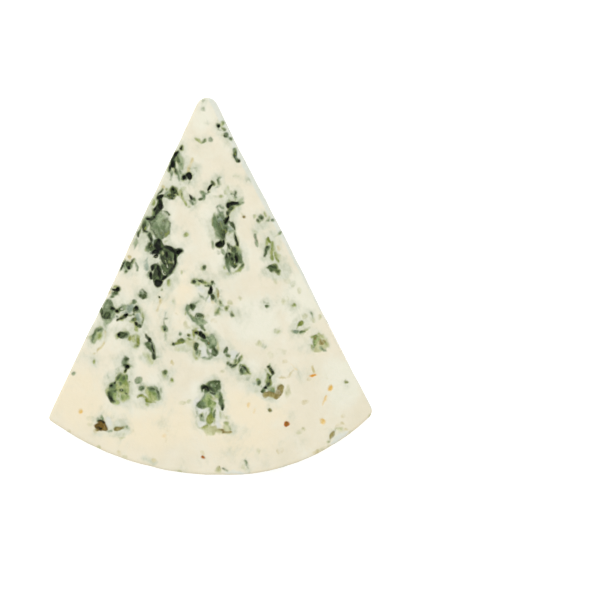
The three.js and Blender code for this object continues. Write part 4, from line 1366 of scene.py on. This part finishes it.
    def rind_flecks(self) -> None:
        """Faint spots low on the face and the chip at the rind, with painted shade along the rind's edge and
        in the chip's crack.
        """
        self.origin = (69, 405)
        self.blots(K.STAIN, (79, 56, 16, 3.5, -20), (153, 67, 12, 3), (179, 65, 5, 5), (214, 61.5, 8, 3, 8))
        # painted shade: the grey rim blots on the chip and along the rind's edge
        self.blots(
            K.RIM_SHADE, (270, 31.5, 13, 6, 28), (265, 37, 8, 4, 30), (277, 27.8, 6, 3, 25), (167, 68, 22, 2.4),
        )
        self.faint(K.AMBER, (180, 0.5, 4, 5), (185.5, 4, 3, 5), (95, 30.5, 3, 4), (100, 26, 3, 1.6))
        self.faint(K.TAN, (97, 36, 1.5, 6), (85, 56, 4, 3), (133.5, 47, 4, 4), (247, 47, 8, 3, 25))
        self.faint(
            K.PALE, (189.3, 45.8, 3, 3.4), (156, 12, 4, 2.4), (284, 26.5, 10, 2.4, 25), (111, 68, 3, 2.4),
            (175.5, 62, 4, 6), (255, 43.5, 12, 2.6, 27), (0, 26, 4, 3), (57, 51, 4, 3),
        )
        self.blots(K.TAN, (278, 24.6, 4.4, 2.4), (50, 46.8, 4, 2.6), (51.5, 49, 4, 1.8))
        self.blots(K.PALE, (301, 11.5, 2.4, 7), (260, 36, 2.6, 3), (149.6, 65, 6, 6))
        self.veins(
            K.SAGE, (266.6, 24.8, 261, 36, 1.7, 0.4), (177, 56.5, 180.5, 67, 1.1), (155, 64, 159, 66, 1.8),
        )
        self.veins(K.PALE, (266, 24, 274, 23.6, 2.2))
        # painted shade: the umber stroke is the dark of the chip's crack
        self.veins(K.UMBER, (265, 26.5, 261.5, 33.5, 1.4, 0.3))
        self.blots(K.UMBER, (151, 62.4, 3.4, 3.6), (149.8, 65.6, 1.6, 2.2))
        self.blots(K.CLAY, (134.3, 51.8, 5, 3.4, -40))


# ---- hollows of the other faces -------------------------------------------------------------------


@dataclass(frozen=True)
class Hollow:
    """A crumb-shaped hollow in a face. Its axes run along the face, up it and out of it."""

    centre: Array
    axes: Array
    radii: Array
    seed: int

    UNEVEN = 0.16

    def distance(self, points: Array) -> Array:
        """Distance to the hollow's wall, negative inside it.

        Args:
            points: places, with x, y and z last.

        Returns:
            One distance for each.
        """
        local = (points - self.centre) @ self.axes.T / self.radii
        size = np.linalg.norm(local, axis=-1) + TINY
        x, y, z = np.moveaxis(local / size[..., None], -1, 0)
        wave = np.sin(3.1 * x + 1.7 * self.seed) * np.cos(2.7 * y - 2.3 * self.seed)
        wave = wave + np.sin(4.3 * y + 3.7 * z + 0.9 * self.seed)
        slope = np.linalg.norm(local / self.radii, axis=-1) + TINY
        return size * (size - 1 - self.UNEVEN * wave) / slope


@dataclass(frozen=True)
class Scatter:
    """Hollows spread over the cut sides, the rind and the back by the same rule as in the solid."""

    plan: Plan
    thickness: float
    side_count: int = 22
    back_count: int = 20
    rind_count: int = 8
    plain_tip: float = 0.16
    back_end: float = 0.96
    depth_share: float = 0.42
    rind_depth_share: float = 0.3
    rind_scale: float = 0.55
    smallest: float = 1.2
    largest: float = 5.6
    flattest: float = 0.6
    margin: float = 3.0
    mouth_lift: float = 0.12

    STEPS = {"along": 0.7548776662, "up": 0.5698402910, "size": 0.6180339887, "shape": 0.4142135624}

    def spread(self, kind: str, index: int) -> float:
        """Evenly spread numbers between 0 and 1."""
        return (0.5 + index * self.STEPS[kind]) % 1

    def hollow(self, index: int, at: Array, axes: Array, scale: float, depth_share: float) -> Hollow:
        """One hollow.

        Args:
            index: its number in its face's sequence.
            at: its middle on the face.
            axes: rows along the face, up it and out of it.
            scale: of its width.
            depth_share: its depth over its width.

        Returns:
            The hollow.
        """
        share = self.spread("size", index) ** 2
        wide = scale * (self.smallest + share * (self.largest - self.smallest))
        high = wide * (self.flattest + self.spread("shape", index) * (1 - self.flattest))
        depth = wide * depth_share
        radii = np.array([wide / 2, high / 2, depth])
        return Hollow(at + axes[2] * self.mouth_lift * depth, axes, radii, index)

    def upright(self, index: int, at: Array, outward: Array, scale: float, depth_share: float) -> Hollow:
        """One hollow in an upright face."""
        height = self.margin + self.spread("up", index) * (self.thickness - 2 * self.margin)
        out, up = np.array([*outward, 0.0]), np.array([0.0, 0.0, 1.0])
        axes = np.array([np.cross(up, out), up, out])
        return self.hollow(index, np.array([*(at - self.plan.shift), height]), axes, scale, depth_share)

    def sides(self) -> Iterable[Hollow]:
        """Hollows of both cut sides."""
        for side in (-1, 1):
            length = self.plan.side_length(side)
            for i in range(self.side_count):
                index = i + (self.side_count if side > 0 else 0)
                start = self.plain_tip * length
                run = start + self.spread("along", index) * (length - self.margin - start)
                at = self.plan.from_apex(0, 0) + self.plan.along(side) * run
                yield self.upright(index, at, self.plan.outward(side), 1.0, self.depth_share)

    def rind(self) -> Iterable[Hollow]:
        """Small hollows of the rind."""
        start, end = self.plan.corner_angle(-1), self.plan.corner_angle(1)
        for i in range(self.rind_count):
            angle = start + (end - start) * (i + self.spread("along", i)) / self.rind_count
            side = -1 if angle < self.plan.LOWEST_ANGLE else 1
            outward = np.array([math.cos(angle), math.sin(angle)])
            at = self.plan.rind_centre(side) + self.plan.radii(side)[0] * outward
            yield self.upright(i, at, outward, self.rind_scale, self.rind_depth_share)

    def back(self) -> Iterable[Hollow]:
        """Hollows of the face that the wedge lies on."""
        axes = np.diag([1.0, -1.0, -1.0])
        for i in range(self.back_count):
            share = self.plain_tip + math.sqrt(self.spread("up", i)) * (self.back_end - self.plain_tip)
            down = share * self.plan.length
            half = down * math.tan(self.plan.half_angle) - self.margin
            across = half * (2 * self.spread("along", i) - 1)
            at = np.array([*(self.plan.from_apex(across, down) - self.plan.shift), 0.0])
            yield self.hollow(i, at, axes, 1.0, self.depth_share)

    def all(self) -> list[Hollow]:
        """Every scattered hollow."""
        return [*self.sides(), *self.rind(), *self.back()]


# ---- the surface ----------------------------------------------------------------------------------


@dataclass(frozen=True)
class SurfaceNet:
    """Turns a field on a grid, negative inside, into one closed mesh of quads."""

    axes: tuple[Array, Array, Array]

    def mesh(self, values: Array) -> tuple[Array, Array]:
        """Points and quads of the surface where the field is zero.

        Args:
            values: the field on the grid.

        Returns:
            Rows of x, y, z and rows of four point numbers.
        """
        inside = values < 0
        corners = [(i, j, k) for i in (0, 1) for j in (0, 1) for k in (0, 1)]
        counts = sum(self.corner(inside, *corner).astype(np.int8) for corner in corners)
        cells = np.argwhere((counts > 0) & (counts < 8))
        numbers = np.full(counts.shape, -1, np.int64)
        numbers[tuple(cells.T)] = np.arange(len(cells))
        return self.points(values, cells), self.quads(inside, numbers)

    def corner(self, values: Array, i: int, j: int, k: int) -> Array:
        """One corner of every cell."""
        shape = values.shape
        return values[i : shape[0] - 1 + i, j : shape[1] - 1 + j, k : shape[2] - 1 + k]

    def points(self, values: Array, cells: Array) -> Array:
        """The middle of the crossings on each cell's edges."""
        total, found = np.zeros((len(cells), 3)), np.zeros(len(cells))
        for direction in range(3):
            step = np.eye(3, dtype=int)[direction]
            others = [np.eye(3, dtype=int)[d] for d in range(3) if d != direction]
            for a in (0, 1):
                for b in (0, 1):
                    start = cells + a * others[0] + b * others[1]
                    end = start + step
                    low, high = values[tuple(start.T)], values[tuple(end.T)]
                    crossed = (low < 0) != (high < 0)
                    share = np.where(crossed, low / np.where(crossed, low - high, 1), 0)[:, None]
                    place = self.place(start) * (1 - share) + self.place(end) * share
                    total += place * crossed[:, None]
                    found += crossed
        return total / found[:, None]

    def place(self, indices: Array) -> Array:
        """Coordinates of grid points."""
        return np.stack([axis[indices[:, i]] for i, axis in enumerate(self.axes)], -1)

    def quads(self, inside: Array, numbers: Array) -> Array:
        """One quad round each grid edge that the surface crosses."""
        found = []
        for direction in range(3):
            side, next_side = [(1, 2), (2, 0), (0, 1)][direction]
            step = np.eye(3, dtype=int)
            low = [slice(1, -1)] * 3
            low[direction] = slice(0, -1)
            high = list(low)
            high[direction] = slice(1, None)
            changed = inside[tuple(low)] != inside[tuple(high)]
            edges = np.argwhere(changed)
            edges[:, [side, next_side]] += 1
            outwards = inside[tuple(edges.T)]
            ring = [-step[side] - step[next_side], -step[next_side], 0 * step[side], -step[side]]
            quad = np.stack([numbers[tuple((edges + offset).T)] for offset in ring], 1)
            found.append(np.where(outwards[:, None], quad, quad[:, ::-1]))
        return np.concatenate(found)


# ---- the finish -----------------------------------------------------------------------------------


@dataclass(frozen=True)
class CheeseFinish:
    """Moist cream paste with layers of mould, and a drier rind."""

    paste: Rgb = (234, 226, 203)
    paste_shade: Rgb = (226, 219, 194)
    rind: Rgb = (226, 214, 182)
    thread: Rgb = (46, 55, 36)
    crumb: Rgb = (212, 214, 192)
    fleck: Rgb = (146, 158, 72)
    lit: float = 0.81  # what the surface's own colour is of the colour that shows in the light
    edge: float = 0.6  # share of a kind's fade over which it comes in, to each side
    paste_mix: tuple[float, float] = (0.25, 0.15)  # how much clouds and crumb shade the paste
    tint_mix: tuple[float, float, float] = (0.35, 0.4, 0.45)  # patches, specks and streaks in a kind
    rind_share: float = 0.5  # of the rind's own colour
    thread_share: float = 0.8  # of the threads and flecks in green mould

    def tone(self, colour: Rgb) -> tuple[float, float, float, float]:
        """A colour as seen in the photograph, as the surface's own colour."""
        return (*(level * self.lit for level in srgb(*colour)[:3]), 1.0)

    def material(self) -> bpy.types.Material:
        """Builds the material.

        Returns:
            The material, which reads the mesh's layers.
        """
        sheet = NodeSheet("blue_cheese")
        cloud = sheet.noise(6.0, detail=3.0, seed=1.0)
        grain = sheet.noise(1.3, detail=3.0, roughness=0.6, seed=2.0)
        shade = (cloud * self.paste_mix[0] + grain * self.paste_mix[1] + 0.4).clamp()
        colour = sheet.mix(self.tone(self.paste), self.tone(self.paste_shade), shade)
        rind = sheet.ramp(sheet.attribute("rind") + grain * 0.15, 1.0, 0.0)
        colour = sheet.mix(colour, self.tone(self.rind), rind * self.rind_share)
        specks = [sheet.noise(1.0, detail=3.0, roughness=0.65, seed=3.0 + i) for i in range(3)]
        patch = sheet.noise(2.2, detail=3.0, roughness=0.6, seed=7.0)
        turns = sheet.ramp(sheet.noise(9.0, seed=8.0), -0.5, 0.5)
        streaks = []
        for i in range(3):
            ways = [sheet.streaks(1.0, turn, 11.0 + 2 * i + j) for j, turn in enumerate(Canvas.DIRECTIONS)]
            streaks.append(ways[0] * turns + ways[1] * (1 - turns))
        mould = green = None
        for kind in Kind:
            number = kind.rank % len(specks)
            cover = sheet.attribute(kind.layer) + (specks[number] + streaks[number]) * (kind.ragged * 0.5)
            share = sheet.ramp(cover, -kind.fade * self.edge, kind.fade * self.edge)
            other = (kind.rank + 1) % len(specks)
            parts = zip((patch, specks[other], streaks[other]), self.tint_mix)
            first, second, third = (part * weight for part, weight in parts)
            tint = (first + second + third + 0.45).clamp()
            colour = sheet.mix(colour, sheet.mix(self.tone(kind.main), self.tone(kind.other), tint), share)
            if kind.rank >= K.OLIVE.rank:
                mould = share if mould is None else sheet.math("MAXIMUM", mould, share)
            if kind is K.GREEN:
                green = share
            elif kind is K.BLACK:
                green *= 1.0 - share
        threads = sheet.ramp(sheet.math("ABSOLUTE", streaks[0]), 0.3, 0.08)
        dark = threads * green * sheet.ramp(patch, -0.6, 0.3)
        colour = sheet.mix(colour, self.tone(self.thread), dark * self.thread_share)
        light = sheet.ramp(streaks[1] + specks[0] * 0.5, 0.9, 1.6) * green
        fleck = sheet.mix(self.tone(self.crumb), self.tone(self.fleck), sheet.ramp(patch, -0.9, -0.3))
        colour = sheet.mix(colour, fleck, light * self.thread_share)
        self.surface(sheet, colour, mould, grain, specks[1], rind)
        return sheet.material

    def surface(
        self,
        sheet: NodeSheet,
        colour: bpy.types.NodeSocket,
        mould: Signal,
        grain: Signal,
        fine: Signal,
        rind: Signal,
    ) -> None:
        """Adds the shader itself.

        Args:
            sheet: the material.
            colour: its colour.
            mould: share of mould.
            grain: noise of the crumb.
            fine: the finest noise.
            rind: share of rind.
        """
        roughness = mould * 0.3 + rind * 0.12 + grain * 0.025 + 0.5
        height = grain * 0.4 + fine * 0.08 + mould * fine * 0.45
        bump = sheet.node("ShaderNodeBump", {}, {"Strength": 0.5, "Distance": 0.06 * MM, "Height": height})
        shader = sheet.node(
            "ShaderNodeBsdfPrincipled",
            {},
            {
                "Base Color": colour,
                "Roughness": roughness.clamp(),
                "Normal": bump.outputs["Normal"],
                "IOR": 1.42,
                "Subsurface Weight": 0.12,
                "Subsurface Radius": (1.0, 0.9, 0.7),
                "Subsurface Scale": 0.8 * MM,
            },
        )
        sheet.node("ShaderNodeOutputMaterial", {}, {"Surface": shader.outputs["BSDF"]})


# ---- the wedge ------------------------------------------------------------------------------------


@dataclass
class CheeseWedge:
    """The wedge of cheese: its shape, its hollows and its mould."""

    length: float
    thickness: float
    spacing: float = 0.225  # of the grid across and along
    fine_step: float = 0.25  # of the grid's levels near the upper face
    coarse_step: float = 0.7
    fine_depth: float = 2.2
    rounding: float = 0.45  # of the rims
    wobble: float = 0.15  # how far the cut sides wander inward
    inset: float = 0.03  # keeps every face inside the solid's box
    most_faces: int = 185_000
    reach: tuple[float, float] = (34.7, 40.7)  # of the grid from the middle, just past the outline
    under: float = 0.35  # of the grid below the lower face
    wander: tuple[float, float] = (0.6, 0.25)  # of the walls, in wide and in short waves
    face_depth: float = 1.8  # how far down the upper face's marks run on unweakened
    face_fade: float = 0.45  # cover that they lose with each millimetre below that
    plain_band: tuple[float, float] = (3.5, 2.0)  # between these depths the other faces' mould comes in
    kept_depth: float = 1.8  # above this depth no triangle is taken away
    plan: Plan = field(init=False)
    canvas: Canvas = field(init=False)
    hollows: list[Hollow] = field(init=False)

    def __post_init__(self) -> None:
        """Lays out the plan, the marks and the hollows."""
        self.plan = Plan(self.length)
        self.canvas = Canvas(PhotoScale(self.plan))
        FaceMarks(self.canvas).draw()
        self.hollows = Scatter(self.plan, self.thickness).all()

    def axes(self) -> tuple[Array, Array, Array]:
        """The grid's coordinates."""
        x, y = (np.arange(-reach, reach + self.spacing, self.spacing) for reach in self.reach)
        turn = self.thickness - self.fine_depth
        coarse = np.arange(-self.under, turn, self.coarse_step)
        fine = np.arange(turn, self.thickness + 3 * self.fine_step, self.fine_step)
        return x, y, np.concatenate([coarse, fine])

    def solid(self, axes: tuple[Array, Array, Array]) -> Array:
        """Distance to the surface on the grid, negative inside.

        Args:
            axes: the grid's coordinates.

        Returns:
            The field, a 3-D array.
        """
        x, y = np.meshgrid(axes[0], axes[1], indexing="ij")
        z = axes[2]
        outline = self.plan.distance(x, y)[:, :, None]
        wide, short = Lattice(41, 7.0).on_axes(axes), Lattice(42, 2.2).on_axes(axes)
        wander = self.wander[0] * wide + self.wander[1] * short
        wall = outline + self.inset + self.wobble * np.clip(0.4 + wander, 0.0, 2.4)
        sunk = self.canvas.read(self.canvas.relief(), x, y)[:, :, None]
        top = z[None, None, :] - self.thickness + sunk
        slab = np.maximum(top, self.inset - z[None, None, :])
        round_by = self.rounding * np.clip(1 + 0.25 * wander, 0.5, 1.6)
        over_wall, over_slab = wall + round_by, slab + round_by
        outside = np.hypot(np.maximum(over_wall, 0), np.maximum(over_slab, 0))
        values = np.minimum(np.maximum(over_wall, over_slab), 0) + outside - round_by
        for hollow in self.hollows:
            part = self.window(hollow, axes)
            places = np.stack(np.meshgrid(*[a[s] for a, s in zip(axes, part)], indexing="ij"), -1)
            values[part] = np.maximum(values[part], -hollow.distance(places))
        return values

    def window(self, hollow: Hollow, axes: tuple[Array, Array, Array]) -> tuple[slice, ...]:
        """The part of the grid round a hollow."""
        reach = 1.5 * hollow.radii.max() + 1
        return tuple(
            slice(*np.searchsorted(axis, (at - reach, at + reach)))
            for axis, at in zip(axes, hollow.centre)
        )

    def build(self) -> bpy.types.Object:
        """Makes the whole wedge, dressed.

        Returns:
            The object, in the frame's place.
        """
        axes = self.axes()
        points, quads = SurfaceNet(axes).mesh(self.solid(axes))
        mesh = bpy.data.meshes.new("cheese_wedge_body")
        mesh.from_pydata((points * MM).tolist(), [], quads.tolist())
        body = bpy.data.objects.new("cheese_wedge_body", mesh)
        bpy.context.scene.collection.objects.link(body)
        self.thin_out(body, points)
        self.paint(body.data)
        body.data.shade_smooth()
        body.data.materials.append(CheeseFinish().material())
        return body

    def thin_out(self, body: bpy.types.Object, points: Array) -> None:
        """Takes triangles away below the upper face.

        Args:
            body: the fresh wedge.
            points: its points in millimetres.
        """
        group = body.vertex_groups.new(name="rough")
        low = np.flatnonzero(points[:, 2] < self.thickness - self.kept_depth)
        group.add(low.tolist(), 1.0, "REPLACE")
        thinner = body.modifiers.new("thin_out", "DECIMATE")
        thinner.ratio = self.most_faces / (2 * len(body.data.polygons))
        thinner.vertex_group = group.name
        thinner.use_collapse_triangulate = True
        seen = body.evaluated_get(bpy.context.evaluated_depsgraph_get())
        thinned = bpy.data.meshes.new_from_object(seen)
        body.modifiers.clear()
        body.vertex_groups.clear()
        body.data = thinned

    def paint(self, mesh: bpy.types.Mesh) -> None:
        """Stores the layers that the finish reads on the mesh's points.

        Args:
            mesh: the wedge's mesh.
        """
        flat = np.empty(len(mesh.vertices) * 3, np.float32)
        mesh.vertices.foreach_get("co", flat)
        places = flat.reshape(-1, 3) / MM
        below = self.thickness - places[:, 2]
        other = self.other_faces(places, below)
        for kind in Kind:
            face = self.canvas.read(self.canvas.layers[kind], places[:, 0], places[:, 1])
            face -= self.face_fade * np.clip(below - self.face_depth, 0, None)
            self.store(mesh, kind.layer, np.maximum(face, other.get(kind, Canvas.FAR)))
        self.store(mesh, "rind", self.plan.rind_distance(places[:, 0], places[:, 1]))

    def other_faces(self, places: Array, below: Array) -> dict[Kind, Array]:
        """Cover of the mould on the sides, the rind and the back, with painted shade deep inside their
        hollows and on the right rim.

        Args:
            places: points in millimetres.
            below: their depth under the upper face.

        Returns:
            A cover for each kind that grows there.
        """
        near = np.full(len(places), 9.0)
        for hollow in self.hollows:
            close = np.linalg.norm(places - hollow.centre, axis=1) < 1.5 * hollow.radii.max() + 3
            near[close] = np.minimum(near[close], hollow.distance(places[close]))
        inset = np.minimum(-self.plan.distance(places[:, 0], places[:, 1]), places[:, 2])
        wide, ragged = Lattice(51, 5.0).at(places), Lattice(52, 0.9).at(places)
        patch, run = Lattice(53, 3.4).at(places), Lattice(54, 2.6).at(places)
        keep = 2.5 * ease(below, *self.plain_band)
        # painted shade: greys the right cut side's upper rim, more towards the tip, because that rim turns
        # from the light
        right_rim_shade = 0.1 + 1.2 * ease(places[:, 1], -25, 35) - self.plan.side_inset(places[:, 0], places[:, 1], 1)
        vein = 0.30 - 0.9 * np.abs(run) - 0.6 * np.clip(0.7 - wide, 0, None) + 0.12 * ragged
        ring = 0.25 - near + 0.25 * ragged
        olive = vein + 0.05 - 0.4 * (patch < 0)
        return {
            K.STAIN: np.maximum(0.9 - near, vein + 0.5) - keep,
            K.RIM_SHADE: right_rim_shade - np.clip(below - 0.3, 0, None),
            K.OLIVE: np.maximum(ring - 0.5 * np.clip(0.3 - patch, 0, None), olive) - keep,
            K.SAGE: vein - 0.4 * (patch > 0.4) - keep,
            K.GREEN: np.maximum(ring - 0.35 * np.clip(patch - 0.2, 0, None), vein - 0.18) - keep,
            # painted shade: near-black deep inside the hollows, away from their rims
            K.BLACK: np.minimum(inset - 0.75 + 0.25 * ragged, 0.3 - near) - keep,
        }

    def store(self, mesh: bpy.types.Mesh, name: str, values: Array) -> None:
        """Stores one number a point."""
        layer = mesh.attributes.new(name, "FLOAT", "POINT")
        layer.data.foreach_set("value", np.ascontiguousarray(values, np.float32))


# ---- the studio -----------------------------------------------------------------------------------


@dataclass(frozen=True)
class Studio:
    """A pale floor, soft light from the upper left and a camera that looks straight down."""

    scale: PhotoScale
    face_height: float
    distance: float = 1.25  # of the camera from the upper face, in metres
    picture_pixels: int = 600
    sensor: float = 36.0
    floor_size: float = 3.0

    def direction(self, right: float, up: float) -> Array:
        """A direction in the picture as one on the floor."""
        sine, cosine = math.sin(self.scale.lean), math.cos(self.scale.lean)
        return np.array([right * cosine + up * sine, up * cosine - right * sine])

    def floor(self) -> bpy.types.Object:
        """The floor, which also glows a little, so that the shadow stays as weak as in the photograph."""
        half = self.floor_size / 2
        mesh = bpy.data.meshes.new("floor")
        corners = [(-half, -half, 0), (half, -half, 0), (half, half, 0), (-half, half, 0)]
        mesh.from_pydata(corners, [], [(0, 1, 2, 3)])
        floor = bpy.data.objects.new("floor", mesh)
        bpy.context.scene.collection.objects.link(floor)
        sheet = NodeSheet("floor")
        pale = sheet.node(
            "ShaderNodeBsdfPrincipled",
            {},
            {
                "Base Color": (0.7, 0.7, 0.7, 1),
                "Roughness": 0.9,
                "Emission Color": (1, 1, 1, 1),
                "Emission Strength": 0.55,
            },
        )
        sheet.node("ShaderNodeOutputMaterial", {}, {"Surface": pale.outputs["BSDF"]})
        mesh.materials.append(sheet.material)
        return floor

    def lamp(self, name: str, right: float, up: float, height: float, size: float, watts: float) -> None:
        """A square area lamp aimed at the wedge.

        Args:
            name: its name.
            right: its place in the picture, in metres from the middle.
            up: the same upward.
            height: above the floor.
            size: of its side.
            watts: its power.
        """
        light = bpy.data.lights.new(name, "AREA")
        light.size = size
        light.energy = watts
        lamp = bpy.data.objects.new(name, light)
        place = Vector((*self.direction(right, up), height))
        lamp.matrix_world = Matrix.Translation(place) @ place.to_track_quat("Z", "Y").to_matrix().to_4x4()
        bpy.context.scene.collection.objects.link(lamp)

    def world(self, strength: float) -> None:
        """Even light from all round."""
        world = bpy.data.worlds.new("studio")
        world.use_nodes = True
        background = world.node_tree.nodes["Background"]
        background.inputs["Color"].default_value = (1, 1, 1, 1)
        background.inputs["Strength"].default_value = strength
        bpy.context.scene.world = world

    def camera(self) -> None:
        """Stands over the wedge, panned so that the wedge lies where the photograph has it."""
        across = self.picture_pixels * self.scale.mm_per_px * MM
        data = bpy.data.cameras.new("camera")
        data.sensor_width = self.sensor
        data.lens = self.sensor * self.distance / across
        camera = bpy.data.objects.new("camera", data)
        aim = self.scale.place(self.picture_pixels / 2, self.picture_pixels / 2) * MM
        place = Vector((0, 0, self.distance + self.face_height * MM))
        back = (place - Vector((*aim, self.face_height * MM))).normalized()
        right = Vector((*self.direction(0, 1), 0)).cross(back).normalized()
        turn = Matrix((right, back.cross(right), back)).transposed()
        camera.matrix_world = Matrix.Translation(place) @ turn.to_4x4()
        bpy.context.scene.collection.objects.link(camera)
        bpy.context.scene.camera = camera

    def build(self) -> None:
        """Sets the whole studio up."""
        self.floor()
        self.lamp("key", right=-0.15, up=0.4, height=0.85, size=0.45, watts=4.2)
        self.world(0.87)
        self.camera()
        view = bpy.context.scene.view_settings
        view.view_transform = "Standard"
        view.look = "None"


def main() -> None:
    """Builds the wedge and the studio and reports each piece."""
    logging.basicConfig(level=logging.INFO, format="%(name)s: %(message)s")
    low, high = (np.array(corner) / MM for corner in CAD_BOX)
    wedge = CheeseWedge(length=high[1] - low[1], thickness=high[2] - low[2])
    body = wedge.build()
    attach(body, "root")
    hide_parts("cheese_wedge")
    LOG.info("%s: %d faces", body.name, len(body.data.polygons))
    Studio(wedge.canvas.scale, wedge.thickness).build()
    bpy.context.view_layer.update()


if __name__ == "__main__":
    main()
